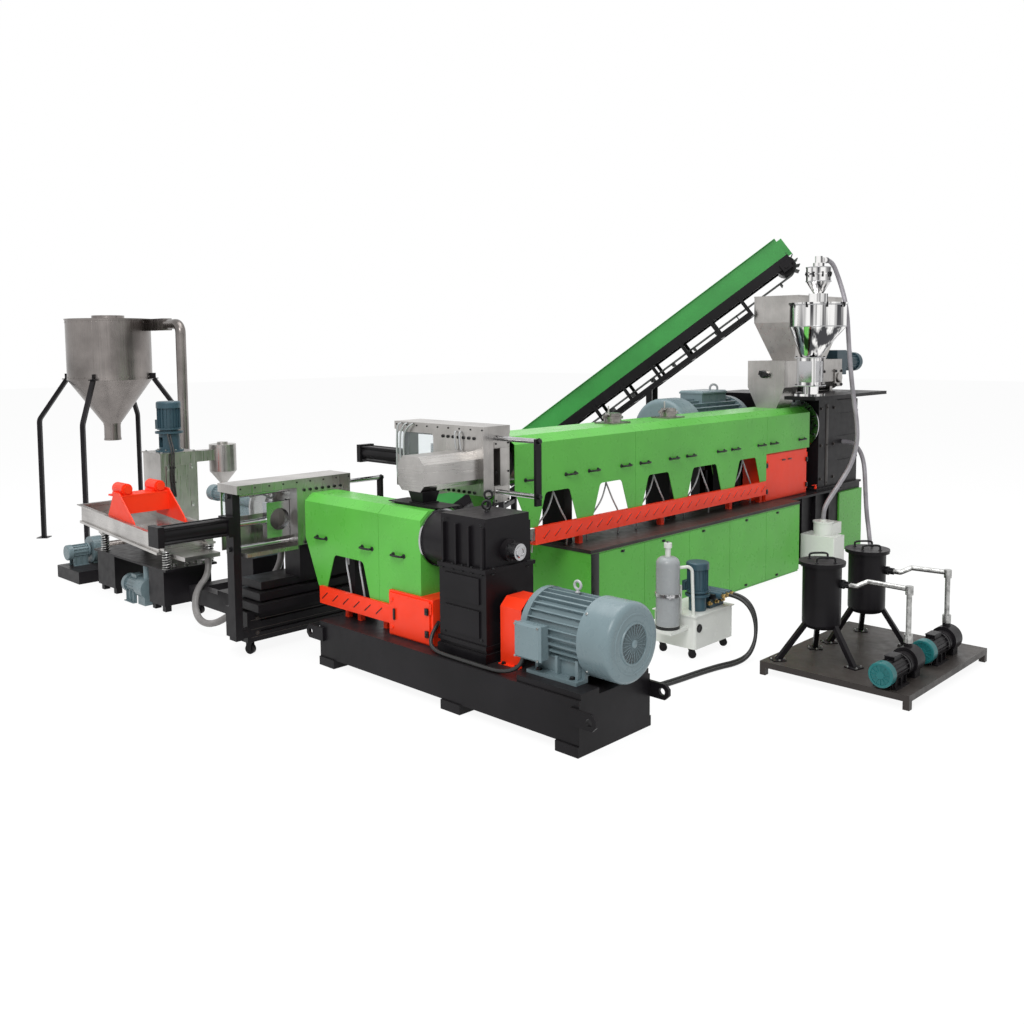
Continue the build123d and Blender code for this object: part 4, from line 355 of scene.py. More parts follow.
# %% [markdown]
# ## Painted steel
# The covers are folded sheet with a satin coat. Sprayed paint dries with a faint orange-peel
# surface, which a fine noise bump gives. A second, large noise shifts the tone a little, as
# handling and light dust do. Bolts, handles and fan covers wear the same kind of coat.


# %% Paint
def paint(name, colour, rough, spread=0.12, peel=0.12, dust=None, settled=0.3):
    material = finish(name, colour, rough)
    colour_out = tones(material, grain(material, 1.7), *either_side(colour, spread))
    shine(material, grain(material, 14.0), rough - 0.06, rough + 0.08)
    relief(material, grain(material, 260.0, detail=1.0), peel * 0.4, 0.0003)
    shader = material.node_tree.nodes["Principled BSDF"]
    shader.inputs["Specular IOR Level"].default_value = 0.32
    if dust:
        dust_over(material, colour_out, dust, settled)
    return material


GREEN = paint("green_sheet", (0.100, 0.440, 0.055), 0.30, spread=0.07)
DARK_GREEN = paint("conveyor_green", (0.045, 0.285, 0.060), 0.36)
RED = paint("orange_red", (0.960, 0.045, 0.010), 0.38, spread=0.05)
BLACK = paint("machine_black", (0.0095, 0.0085, 0.0100), 0.36, spread=0.3, dust=(0.12, 0.11, 0.11),
              settled=0.16)
BLACK.node_tree.nodes["Principled BSDF"].inputs["Specular IOR Level"].default_value = 0.14
DARK_PLATE = paint("dark_plate", (0.026, 0.021, 0.019), 0.42, spread=0.4, dust=(0.12, 0.11, 0.10))
WHITE = paint("white_gloss", (0.72, 0.74, 0.70), 0.22, spread=0.05, peel=0.35)
BOTTLE = paint("bottle_grey", (0.33, 0.35, 0.36), 0.25, spread=0.06)
MOTOR = paint("motor_blue_grey", (0.165, 0.225, 0.245), 0.28, spread=0.10, peel=0.3)
DARK_MOTOR = paint("motor_dark_blue", (0.040, 0.085, 0.110), 0.38, spread=0.15, peel=0.3)
FITTING = paint("fitting_black", (0.008, 0.008, 0.009), 0.30, spread=0.2)
GREY_PAINT = paint("grey_paint", (0.42, 0.43, 0.44), 0.34, spread=0.06)
TEAL = paint("teal_cover", (0.012, 0.130, 0.135), 0.36, spread=0.15)
print("paints ready")

# %% [markdown]
# ## Bare metals
# Stainless sheet shows the fine parallel lines of the brush and a cloudy change of shine where it
# was welded and cleaned. Stretching a dense noise along one axis draws those lines. Zinc is greyer
# and blotched, turned steel is bright and even, and the dosing hopper is polished like a mirror, with
# dark and bright upright streaks painted into its colour as a painted reflection.
# The hose ends are brass.


# %% Metals
def brushed(name, colour, rough, stretch, scale=90.0, cloud=2.2, spread=0.30):
    material = finish(name, colour, rough, 1.0)
    tones(material, grain(material, cloud, detail=6.0), *either_side(colour, spread), 0.3, 0.7)
    lines = grain(material, scale, stretch, detail=3.0)
    shine(material, lines, rough - 0.08, rough + 0.12)
    relief(material, lines, 0.04, 0.0004)
    return material


STEEL_UPRIGHT = brushed("stainless_upright", (0.40, 0.385, 0.37), 0.32, (1, 1, 0.03))
STEEL_LEVEL = brushed("stainless_level", (0.46, 0.445, 0.43), 0.30, (0.03, 0.03, 1))
SILO_STEEL = brushed("silo_steel", (0.225, 0.205, 0.195), 0.28, (1, 1, 0.02), 60.0, 1.5, 0.4)
POLISHED_PAINTED_REFLECTION = brushed("mirror_steel_painted_reflection", (0.40, 0.39, 0.39), 0.10, (1, 1, 0.05), 20.0, 1.2, 0.12)
# Dark and bright upright streaks in the hopper's base colour are a painted reflection.
tones(POLISHED_PAINTED_REFLECTION, grain(POLISHED_PAINTED_REFLECTION, 14.0, (1, 1, 0.02), detail=2.0), (0.06, 0.06, 0.065),
      (0.92, 0.91, 0.90), 0.42, 0.56)
BRASS = brushed("brass_fitting", (0.62, 0.42, 0.16), 0.30, (1, 1, 1), 60.0, 8.0, 0.15)
TURNED = brushed("turned_steel", (0.46, 0.46, 0.47), 0.20, (1, 1, 1), 8.0, 4.0, 0.12)
GALVANISED = brushed("blotched_steel", (0.24, 0.225, 0.21), 0.18, (1, 1, 1), 26.0, 14.0, 0.45)
ZINC = brushed("zinc_pipe", (0.38, 0.38, 0.37), 0.30, (1, 1, 1), 60.0, 26.0, 0.45)
BAND_METAL = brushed("heater_band", (0.26, 0.26, 0.27), 0.42, (1, 1, 1), 30.0, 6.0, 0.3)
print("metals ready")

# %% [markdown]
# ## Rubber, hose and glass
# Hoses are clear or grey plastic with a wire spiral inside, which shows as fine ribs. The belt is
# matt green-black rubber. The panes are plain clear plastic.


# %% Rubber and glass
def rubber(name, colour, rough, spread=0.2):
    material = finish(name, colour, rough)
    tones(material, grain(material, 6.0), *either_side(colour, spread))
    relief(material, grain(material, 160.0), 0.2, 0.0008)
    return material


BELT = rubber("belt_rubber", (0.020, 0.030, 0.024), 0.62)
CLEAR_HOSE = rubber("ribbed_clear_hose", (0.30, 0.285, 0.31), 0.30)
GREY_HOSE = rubber("grey_hose", (0.20, 0.19, 0.185), 0.40)
BLACK_RUBBER = rubber("black_rubber", (0.012, 0.012, 0.012), 0.45)
PANE = finish("clear_pane", (0.86, 0.90, 0.92), 0.04)
PANE.node_tree.nodes["Principled BSDF"].inputs["Transmission Weight"].default_value = 0.9
PANE.node_tree.nodes["Principled BSDF"].inputs["IOR"].default_value = 1.2
relief(PANE, grain(PANE, 3.0), 0.05, 0.002)
print("rubber and glass ready")

# %% [markdown]
# ## Dress the metal parts
# Each part of the frame takes one finish over its whole surface.

# %% Which part wears what
WEARS = {
    GREEN: ["cover_two", "cover_one", "cabinet"],
    DARK_GREEN: ["conveyor_sides"],
    RED: ["skirts", "electric_boxes", "door_one", "door_two", "coupling_guard", "sieve_exciter"],
    BLACK: ["base_two", "gearbox_two", "barrel_supports", "tie_frames", "changer_cylinders",
            "drive_stand", "gearbox_one", "melt_funnel", "trolley", "casters",
            "conveyor_frame", "sieve_base", "silo_legs", "vacuum_tanks", "vacuum_pumps"],
    DARK_PLATE: ["deck", "vacuum_table"],
    WHITE: ["hydraulic_tank", "loader_blower"],
    MOTOR: ["motor_two", "motor_one", "cutter_motor", "sieve_pumps"],
    DARK_MOTOR: ["feeder_drive", "dewatering_motor", "hydraulic_motor"],
    STEEL_UPRIGHT: ["changer_bodies", "changer_frames", "dewatering_casing", "feed_hopper",
                    "feeder_trough"],
    STEEL_LEVEL: ["transfer_duct", "die_hood", "sieve_tray"],
    SILO_STEEL: ["silo_shell", "silo_roof"],
    POLISHED_PAINTED_REFLECTION: ["dosing_hopper"],
    GALVANISED: ["vent_ports"],
    TURNED: ["steel_rings", "slide_one", "slide_two"],
    ZINC: ["vacuum_pipes"],
    BAND_METAL: ["barrels"],
    BELT: ["conveyor_belt"],
    PANE: ["changer_glass"],
}
HOSE_WEARS = {"loader_hose": CLEAR_HOSE, "vacuum_hose": CLEAR_HOSE, "sieve_hose": GREY_HOSE,
              "hydraulic_hose": BLACK_RUBBER}


def dress(piece, material):
    piece.data.materials.clear()
    piece.data.materials.append(material)


for material, names in WEARS.items():
    for name in names:
        dress(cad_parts[name], material)
for name, material in HOSE_WEARS.items():
    dress(bpy.data.objects[name], material)
dressed = {n for names in WEARS.values() for n in names}
cords = {node for node, radius, give, route in HOSES.values()}
print("not dressed", sorted(set(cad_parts) - dressed - cords))

# %% [markdown]
# ## Tools for small fittings
# Bolts, handles, caps and grilles are built in mesh code and gathered into one piece for each
# group, so the list of pieces stays short. A turned shape is a profile of radius and height spun
# round an axis. A bar is a block whose edges are bevelled, because no real edge is perfectly sharp.


# %% Fitting tools
def facing(place, way):
    """Matrix that puts local z along way, at a place."""
    return Matrix.Translation(place) @ Vector(way).to_track_quat("Z", "Y").to_matrix().to_4x4()


def turned(shape, profile, at, sides=24):
    """Spins (radius, height) points round local z; a radius of 0 closes an end."""
    rings = []
    for radius, height in profile:
        if radius < 1e-6:
            rings.append([shape.verts.new(at @ Vector((0, 0, height)))])
            continue
        ring = []
        for step in range(sides):
            angle = 2 * math.pi * step / sides
            spot = Vector((radius * math.cos(angle), radius * math.sin(angle), height))
            ring.append(shape.verts.new(at @ spot))
        rings.append(ring)
    for one, two in zip(rings, rings[1:]):
        for step in range(sides):
            after = (step + 1) % sides
            if len(one) == 1 and len(two) == 1:
                continue
            if len(one) == 1:
                shape.faces.new((one[0], two[step], two[after]))
            elif len(two) == 1:
                shape.faces.new((one[step], one[after], two[0]))
            else:
                shape.faces.new((one[step], one[after], two[after], two[step]))


def bar(shape, size, at, bevel=0.002):
    """A block with bevelled edges, centred on at."""
    made = bmesh.ops.create_cube(shape, size=1.0)
    corners = made["verts"]
    for corner in corners:
        corner.co = Vector(c * s for c, s in zip(corner.co, size))
    if bevel:
        edges = {edge for corner in corners for edge in corner.link_edges}
        made = bmesh.ops.bevel(shape, geom=list(edges), offset=bevel, segments=2, affect="EDGES",
                               profile=0.6)
        corners = {v for face in made["faces"] for v in face.verts} | {
            v for v in corners if v.is_valid
        }
    for corner in corners:
        corner.co = at @ corner.co


def tube(shape, points, radius, sides=10):
    """A round tube through points, with mitred corners."""
    rings = []
    spots = [Vector(p) for p in points]
    across = None
    for step, spot in enumerate(spots):
        before = spots[max(step - 1, 0)]
        after = spots[min(step + 1, len(spots) - 1)]
        way = (after - before).normalized()
        if across is None:
            across = way.orthogonal().normalized()
        across = (across - way * across.dot(way)).normalized()
        other = way.cross(across)
        ring = []
        for turn_step in range(sides):
            angle = 2 * math.pi * turn_step / sides
            arm = (across * math.cos(angle) + other * math.sin(angle)) * radius
            ring.append(shape.verts.new(spot + arm))
        rings.append(ring)
    for one, two in zip(rings, rings[1:]):
        for step in range(sides):
            after = (step + 1) % sides
            shape.faces.new((one[step], one[after], two[after], two[step]))
    shape.faces.new(list(reversed(rings[0])))
    shape.faces.new(rings[-1])


def bent(points, reach=0.35, cuts=5):
    """Rounds the corners of a run of points for a bent wire or pipe."""
    spots = [Vector(p) for p in points]
    out = [spots[0]]
    for before, spot, after in zip(spots, spots[1:], spots[2:]):
        start = spot.lerp(before, reach)
        end = spot.lerp(after, reach)
        for step in range(cuts + 1):
            part = step / cuts
            out.append(start.lerp(spot, part).lerp(spot.lerp(end, part), part))
    return out + [spots[-1]]


def hex_bolt(shape, place, way, across=0.024, high=0.010):
    """Hexagon head on a washer."""
    at = facing(place, way)
    turned(shape, [(across * 0.72, 0), (across * 0.72, 0.002), (0, 0.002)], at, 16)
    corner = across / 2 / math.cos(math.pi / 6)
    turned(shape, [(corner, 0.002), (corner, high * 0.85), (corner * 0.82, high), (0, high)], at, 6)


def cap_screw(shape, place, way, radius=0.012, high=0.010):
    """Round socket head with its dimple."""
    at = facing(place, way)
    profile = [(radius, 0), (radius, high * 0.85), (radius * 0.85, high), (radius * 0.55, high),
               (radius * 0.5, high * 0.5), (0, high * 0.5)]
    turned(shape, profile, at, 14)


def piece(name, shape, material, body="root", sharp=35):
    """Closes a shape into a piece that rides on a body."""
    bmesh.ops.recalc_face_normals(shape, faces=shape.faces)
    mesh = bpy.data.meshes.new(name)
    for face in shape.faces:
        face.smooth = True
    shape.to_mesh(mesh)
    shape.free()
    mesh.set_sharp_from_angle(angle=math.radians(sharp))
    mesh.materials.append(material)
    made = bpy.data.objects.new(name, mesh)
    bpy.context.scene.collection.objects.link(made)
    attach(made, body)
    print(name, len(mesh.vertices), "points")
    return made


# %% [markdown]
# ## Handles on the covers
# Every arch in the long covers has a black bow handle on each side, so two people can lift a sheet
# off. A handle like this is moulded plastic with a foot at each end. Here it is one bent tube.

# %% Cover handles
RIGHT, LEFT = (1, 0, 0), (-1, 0, 0)
FAR, NEAR = (0, 1, 0), (0, -1, 0)
ABOVE = (0, 0, 1)
COVER_ONE_FACE = 0.560
COVER_TWO_FACE = -0.193
HANDLES_ONE = [1.051, 1.546, 1.851, 2.302, 2.586, 3.045, 3.329, 3.870, 4.134, 4.652, 4.911, 5.535]
HANDLES_ONE_HIGH = 1.402
HANDLES_TWO = [(1.696, 0.959), (1.108, 0.956), (0.734, 0.951)]


def laid(place, along, out):
    """Matrix whose x runs along and whose z points out."""
    along = Vector(along).normalized()
    out = Vector(out).normalized()
    return Matrix.Translation(place) @ Matrix((along, out.cross(along), out)).transposed().to_4x4()


def bow_handle(shape, place, along, out, span=0.120, reach=0.036, thick=0.009):
    place = Vector(place)
    half = Vector(along).normalized() * span / 2
    lift = Vector(out).normalized() * reach
    tube(shape, bent([place - half, place - half + lift, place + half + lift, place + half]), thick)
    for end in (place - half, place + half):
        foot = [(thick * 2.0, 0), (thick * 2.0, 0.003), (thick * 1.2, 0.007), (0, 0.007)]
        turned(shape, foot, facing(end, out), 12)


shape = bmesh.new()
for x in HANDLES_ONE:
    bow_handle(shape, (x, COVER_ONE_FACE, HANDLES_ONE_HIGH), RIGHT, NEAR)
for y, z in HANDLES_TWO:
    bow_handle(shape, (COVER_TWO_FACE, y, z), FAR, LEFT)
piece("cover_handles", shape, FITTING)

# %% [markdown]
# ## Louvres in the red side rails
# Slanted louvres are pressed through the red rails so the heater boxes behind can breathe. A press
# tool cuts one long edge and pushes the strip out. A raised red lip over a thin black strip of painted
# shade, where the opening lies, reads the same.

# %% Louvres
LOUVRE_STEP = 0.1381
LOUVRE_LONG = 0.094
LOUVRES_ONE = [(1.220 + LOUVRE_STEP * k, 0.540, 0.934) for k in range(26)]
LOUVRES_TWO = [(-0.218, 1.640 - LOUVRE_STEP * k, 0.503) for k in range(6)]


def louvre_row(lips, shade_strips, places, right, out):
    slant = Vector(right) + Vector((0, 0, 0.8))
    for spot in places:
        at = laid(spot, slant, out)
        # The black bar under each lip is painted shade where the opening lies.
        bar(shade_strips, (LOUVRE_LONG, 0.008, 0.002), at @ Matrix.Translation((0, -0.004, 0)), 0.0005)
        bar(lips, (LOUVRE_LONG, 0.012, 0.008), at @ Matrix.Translation((0, 0.006, 0)), 0.003)


lips = bmesh.new()
shade_strips = bmesh.new()
louvre_row(lips, shade_strips, LOUVRES_ONE, RIGHT, NEAR)
louvre_row(lips, shade_strips, LOUVRES_TWO, NEAR, LEFT)
piece("louvre_lips", lips, RED)
piece("louvre_painted_shade", shade_strips, FITTING)

# %% [markdown]
# ## Fittings on the electric boxes
# A sheet box like these closes with small black cam locks and hangs on black block hinges. The
# pieces that sit on a door ride on that door, so they swing with it.

# %% Electric box fittings


def edge_of(name, axis, least=True):
    """Lowest or highest place of a part along an axis, in metres."""
    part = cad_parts[name]
    spots = [(part.matrix_world @ Vector(c))[axis] for c in part.bound_box]
    return min(spots) if least else max(spots)


def lock_block(shape, place, along, out, size=(0.034, 0.050, 0.014)):
    bar(shape, size, laid(place, along, out), 0.004)
    turned(shape, [(0.008, 0), (0.008, 0.012), (0, 0.012)], facing(place, out), 12)


door_one_face = edge_of("door_one", 1)
shape = bmesh.new()
for x, z in ((4.792, 1.166), (4.792, 0.883), (5.672, 1.162), (5.672, 0.873)):
    lock_block(shape, (x, door_one_face, z), RIGHT, NEAR)
for x in (5.154, 5.287):
    bar(shape, (0.075, 0.014, 0.003), laid((x, door_one_face, 1.201), RIGHT, NEAR), 0.001)
piece("door_one_fittings", shape, FITTING, "door_one")
door_two_face = edge_of("door_two", 0)
shape = bmesh.new()
for z in (0.600, 0.436):
    lock_block(shape, (door_two_face, 0.376, z), FAR, LEFT)
bar(shape, (0.020, 0.086, 0.010), laid((door_two_face, 0.741, 0.518), FAR, LEFT), 0.004)
piece("door_two_fittings", shape, FITTING, "door_two")

# %% [markdown]
# ## The near motor
# The fan cowl ends in a pressed grille. Its bars are thin rings crossed by spokes over a thin black disc
# that is painted shade for the fan space. A forged eye on top takes the crane hook, and hex bolts hold
# the feet to their rails.

# %% Motor fittings
MOTOR_END = -1.285
MOTOR_HIGH = 0.655
GRILLE_R = 0.126
COWL_R = 0.257
TERMINAL_LID = -0.3185
at = facing((0, MOTOR_END, MOTOR_HIGH), NEAR)
# A thin black disc just behind the grille rings is painted shade for the fan space.
shape = bmesh.new()
turned(shape, [(GRILLE_R, 0), (GRILLE_R, 0.0006), (0, 0.0006)], at, 48)
piece("grille_painted_shade", shape, FITTING)
shape = bmesh.new()
for step in range(1, 15):
    r = 0.0085 * step
    turned(shape, [(r - 0.0011, 0), (r - 0.0011, 0.003), (r + 0.0011, 0.003), (r + 0.0011, 0)], at, 48)
for step in range(24):
    turn = Matrix.Rotation(2 * math.pi * step / 24, 4, "Z")
    spoke = Matrix.Translation((0.0755, 0, 0.0022))
    bar(shape, (0.096, 0.0026, 0.0036), at @ turn @ spoke, 0.0006)
turned(shape, [(0.027, 0), (0.027, 0.005), (0.020, 0.009), (0, 0.009)], at, 32)
turned(shape, [(0.122, 0), (0.124, 0.007), (0.134, 0.007), (0.137, 0)], at, 64)
turned(shape, [(0.178, -0.001), (0.182, 0.004), (0.190, 0.004), (0.194, -0.001)], at, 64)
piece("grille_rings", shape, MOTOR)


def eye_ring(shape, place, way, ring=0.027, thick=0.009):
    """A forged eye: a ring whose plane holds the upright line and way."""
    place, way = Vector(place), Vector(way).normalized()
    up = Vector(ABOVE)
    run = []
    for step in range(25):
        angle = 2 * math.pi * step / 24
        run.append(place + (way * math.sin(angle) - up * math.cos(angle)) * ring)
    tube(shape, run, thick)
    stem = place - up * (ring + 0.022)
    turned(shape, [(0.017, 0), (0.017, 0.006), (0.010, 0.012), (0.010, 0.022)], facing(stem, up), 16)


shape = bmesh.new()
eye_ring(shape, (0, -0.833, 0.949), FAR)
piece("motor_two_eye", shape, GREY_PAINT)
shape = bmesh.new()
for x in (-0.210, 0.210):
    for y in (-0.965, -0.685):
        hex_bolt(shape, (x, y, 0.412), ABOVE, 0.030, 0.016)
for x in (-0.157, 0.157):
    for y in (-0.430, -0.310):
        hex_bolt(shape, (x, y, 0.356), ABOVE, 0.024, 0.014)
piece("foot_bolts", shape, FITTING)
shape = bmesh.new()
for step in range(4):
    angle = math.pi / 4 + step * math.pi / 2
    spot = (COWL_R * math.cos(angle), -1.060, MOTOR_HIGH + COWL_R * math.sin(angle))
    cap_screw(shape, spot, (math.cos(angle), 0, math.sin(angle)), 0.009, 0.006)
for y in (-0.770, -0.575):
    for z in (0.508, 0.716):
        cap_screw(shape, (TERMINAL_LID, y, z), LEFT, 0.008, 0.006)
piece("motor_screws", shape, ZINC)

# %% [markdown]
# ## The near gearbox
# The cast box is split at shaft height, and its halves are bolted together through the flange.
# Two black eyes on top carry it on a crane. The input shaft ends in a bright stub in a bolted cap.

# %% Gearbox fittings
SHAFT_TWO_HIGH = 1.093
FLANGE_FACES = ((0.990, 1), (0.960, -1))
shape = bmesh.new()
eye_ring(shape, (0.008, 0.006, 1.380), (0.7, -0.7, 0), 0.028, 0.009)
eye_ring(shape, (0.093, 0.074, 1.436), (0.7, -0.7, 0), 0.028, 0.009)
turned(shape, [(0.014, 0), (0.014, 0.060)], facing((0.093, 0.074, 1.329), ABOVE), 16)
for y in (-0.190, -0.095, 0.000, 0.095, 0.200):
    for z, way in FLANGE_FACES:
        hex_bolt(shape, (-0.239, y, z), (0, 0, way), 0.018, 0.010)
for x in (-0.170, 0.170):
    for z, way in FLANGE_FACES:
        hex_bolt(shape, (x, -0.232, z), (0, 0, way), 0.018, 0.010)
for step in range(6):
    angle = math.pi / 3 * step + 0.3
    hex_bolt(shape, (0.060 * math.cos(angle), -0.252, SHAFT_TWO_HIGH + 0.060 * math.sin(angle)), NEAR,
             0.014, 0.007)
for y in (-0.180, 0.190):
    for z in (1.290, 0.500):
        cap_screw(shape, (-0.232, y, z), LEFT, 0.010, 0.006)
piece("gearbox_two_bolts", shape, FITTING)
shape = bmesh.new()
turned(shape, [(0.042, 0), (0.042, 0.004), (0.034, 0.010), (0.026, 0.010), (0.024, 0.004), (0, 0.004)],
       facing((0, -0.324, SHAFT_TWO_HIGH), NEAR), 32)
turned(shape, [(0.0585, 0), (0.0585, 0.050)], facing((0, -0.322, SHAFT_TWO_HIGH), FAR), 32)
piece("gearbox_two_stub", shape, TURNED)

# %% [markdown]
# ## Melt changer heads
# Both heads are the same machine turned a quarter. Round screws hold the sheet along its top and
# bottom edge. Between the posts run chromed tie rods, which are drawn as bright sleeves.

# %% Head fittings
SHAFT_ONE_HIGH = 1.533
SHAFT_ONE_Y = 0.850
HEAD_ONE_X = 0.690
HEAD_TWO_Y = 2.070


def on_head(which, x, y, z):
    """A head's own place (x along its slide, y with the melt) in the room."""
    if which == 2:
        return Vector((x, HEAD_TWO_Y + y, SHAFT_TWO_HIGH + z))
    return Vector((HEAD_ONE_X + y, SHAFT_ONE_Y - x, SHAFT_ONE_HIGH + z))


def head_way(which, x, y, z):
    return Vector((x, y, z)) if which == 2 else Vector((y, -x, z))


screws = bmesh.new()
chrome = bmesh.new()
for which in (1, 2):
    near = head_way(which, 0, -1, 0)
    for step in range(7):
        for z in (0.232, -0.196):
            spot = on_head(which, -0.198 + 0.0602 * step, -0.145, z)
            cap_screw(screws, spot, near, 0.013, 0.011)
    for step in range(9):
        spot = on_head(which, -0.780 + 0.129 * step, -0.145, 0.300)
        cap_screw(screws, spot, near, 0.007, 0.005)
    for z in (0.232, -0.190):
        for start, end in ((-0.735, -0.267), (0.267, 0.690)):
            at = facing(on_head(which, start, 0, z), head_way(which, 1, 0, 0))
            turned(chrome, [(0.0198, 0), (0.0198, end - start)], at, 28)
        for x, way in ((-0.800, -1), (0.715, 1)):
            hex_bolt(screws, on_head(which, x, 0, z), head_way(which, way, 0, 0), 0.036, 0.020)
piece("head_screws", screws, FITTING)
piece("head_tie_rods", chrome, TURNED)

# %% [markdown]
# ## Conduits and face plate on the first head
# Wires to the heaters run in thin pale conduits that leave the top box and hug the window's edge.
# They are stiff and clipped down, so bent tubes stand for them.

# %% Head conduits
shape = bmesh.new()
for step in range(3):
    y = 1.600 - 0.045 * step
    top = 1.566 - 0.075 * step
    run = [(0.542, top, 1.846), (0.516, top + 0.010, 1.836), (0.512, y - 0.010, 1.770),
           (0.516, y, 1.620), (0.518, y, 1.420), (0.542, y, 1.340)]
    tube(shape, bent(run, 0.4, 4), 0.007)
for y in (0.890, 0.835):
    run = [(0.543, y, 1.812), (0.522, y, 1.800), (0.522, y - 0.012, 1.700), (0.543, y - 0.012, 1.640)]
    tube(shape, bent(run, 0.4, 4), 0.006)
for which in (1, 2):
    run = [(-0.300, 0.120, 0.180), (-0.360, 0.100, 0.150), (-0.430, 0.095, 0.205),
           (-0.560, 0.090, 0.190)]
    tube(shape, bent([on_head(which, *p) for p in run], 0.4, 4), 0.008)
piece("head_conduits", shape, GREY_PAINT)
shape = bmesh.new()
PLATE_LOW, PLATE_HIGH = (0.661, 1.254), (0.829, 1.734)
SLOT_ROOM = 0.006
RING_SCREW_R = 0.272
gap_low = (edge_of("slide_one", 0) - SLOT_ROOM, edge_of("slide_one", 2) - SLOT_ROOM)
gap_high = (edge_of("slide_one", 0, False) + SLOT_ROOM,
            edge_of("slide_one", 2, False) + SLOT_ROOM)
for x0, x1, z0, z1 in ((PLATE_LOW[0], PLATE_HIGH[0], gap_high[1], PLATE_HIGH[1]),
                       (PLATE_LOW[0], PLATE_HIGH[0], PLATE_LOW[1], gap_low[1]),
                       (PLATE_LOW[0], gap_low[0], gap_low[1], gap_high[1]),
                       (gap_high[0], PLATE_HIGH[0], gap_low[1], gap_high[1])):
    if x1 - x0 > 0.010 and z1 - z0 > 0.010:
        at = laid(((x0 + x1) / 2, 0.583, (z0 + z1) / 2), RIGHT, NEAR)
        bar(shape, (x1 - x0, z1 - z0, 0.006), at, 0.002)
piece("head_face_plate", shape, STEEL_UPRIGHT)
print("slot in the face plate", [round(v, 3) for v in gap_low + gap_high])
shape = bmesh.new()
for x in (0.676, 0.814):
    for z in (1.720, 1.494, 1.270):
        cap_screw(shape, (x, 0.580, z), NEAR, 0.008, 0.006)
for step in range(16):
    angle = math.pi * step / 8
    spot = (5.885, SHAFT_ONE_Y + RING_SCREW_R * math.cos(angle),
            SHAFT_ONE_HIGH + RING_SCREW_R * math.sin(angle))
    cap_screw(shape, spot, LEFT, 0.013, 0.012)
piece("plate_and_ring_screws", shape, FITTING)

# %% [markdown]
# ## The far motor and the feeder's bearings
# The big motor behind the long cover shows its pale lifting eye. The side feeder's shaft turns in
# flange bearings, each a cast lozenge with a bolt at either end.

# %% Far motor and feeder
shape = bmesh.new()
eye_ring(shape, (5.416, 1.650, 1.955), (0.7, -0.7, 0), 0.044, 0.013)
turned(shape, [(0.015, 0), (0.015, 0.050)], facing((5.416, 1.650, 1.850), ABOVE), 16)
piece("motor_one_eye", shape, GREY_PAINT)


def lozenge_bearing(shape, place, along, out, half=0.062):
    """A flange bearing: a waisted plate, a round boss and two bolts."""
    bar(shape, (2 * half, 0.052, 0.014), laid(place, along, out), 0.006)
    at = facing(place, out)
    turned(shape, [(0.043, 0), (0.043, 0.016), (0.032, 0.026), (0.018, 0.026), (0.016, 0.020),
                   (0, 0.020)], at, 28)
    for side_of in (-1, 1):
        spot = Vector(place) + Vector(along).normalized() * side_of * (half - 0.016)
        hex_bolt(shape, spot + Vector(out) * 0.007, out, 0.020, 0.012)


shape = bmesh.new()
lozenge_bearing(shape, (5.216, 0.870, 2.137), (0, 1, 0.3), LEFT)
piece("feeder_bearing", shape, FITTING)

# %% [markdown]
# ## Dosing hopper
# The mirror hopper closes with a lid held by sprung clips, and a small receiver on top sucks
# additive up the clear hose. Square bolted flanges join the chute below it.

# %% Dosing hopper fittings
DOSE_AT = Vector((5.420, 0.330, 0))
CHUTE_AT = (5.360, 0.380)
clips = bmesh.new()
bands = bmesh.new()
for angle in (-175, -135, -95, -20, 70, 150):
    way = Vector((math.cos(math.radians(angle)), math.sin(math.radians(angle)), 0))
    for radius, high in ((0.315, 2.892), (0.145, 3.222)):
        spot = DOSE_AT + way * radius + Vector((0, 0, high))
        bar(clips, (0.016, 0.056, 0.012), laid(spot, Vector(ABOVE).cross(way), way), 0.003)
        foot = spot + way * 0.010 - Vector((0, 0, 0.020))
        tip = spot + way * 0.016 + Vector((0, 0, 0.024))
        tube(clips, [foot, tip], 0.004)
for high, radius in ((2.662, 0.3035), (2.893, 0.3050), (3.150, 0.1350), (3.300, 0.1350)):
    rim = [(radius - 0.004, -0.006), (radius + 0.002, -0.004), (radius + 0.002, 0.004),
           (radius - 0.004, 0.006)]
    turned(bands, rim, Matrix.Translation((*DOSE_AT.xy, high)), 56)
for high in (2.323, 2.016):
    at = Matrix.Translation((*CHUTE_AT, high))
    bar(bands, (0.250, 0.250, 0.012), at, 0.002)
    for dx in (-0.108, 0.108):
        for dy in (-0.108, 0.108):
            hex_bolt(clips, (CHUTE_AT[0] + dx, CHUTE_AT[1] + dy, high + 0.006), ABOVE, 0.018, 0.010)
for x, y, way in ((5.2545, 0.380, LEFT), (5.360, 0.2745, NEAR)):
    level = Vector(ABOVE).cross(Vector(way))
    bar(bands, (0.150, 0.230, 0.004), laid((x, y, 2.170), level, way), 0.001)
piece("dosing_clips", clips, FITTING)
piece("dosing_bands", bands, TURNED)

# %% [markdown]
# ## Vacuum unit
# Each black tank has a round lid with two bow handles for lifting it off to be emptied. Its legs
# stand on bolted plates, and the pumps end in a blue-green fan cover with spokes.

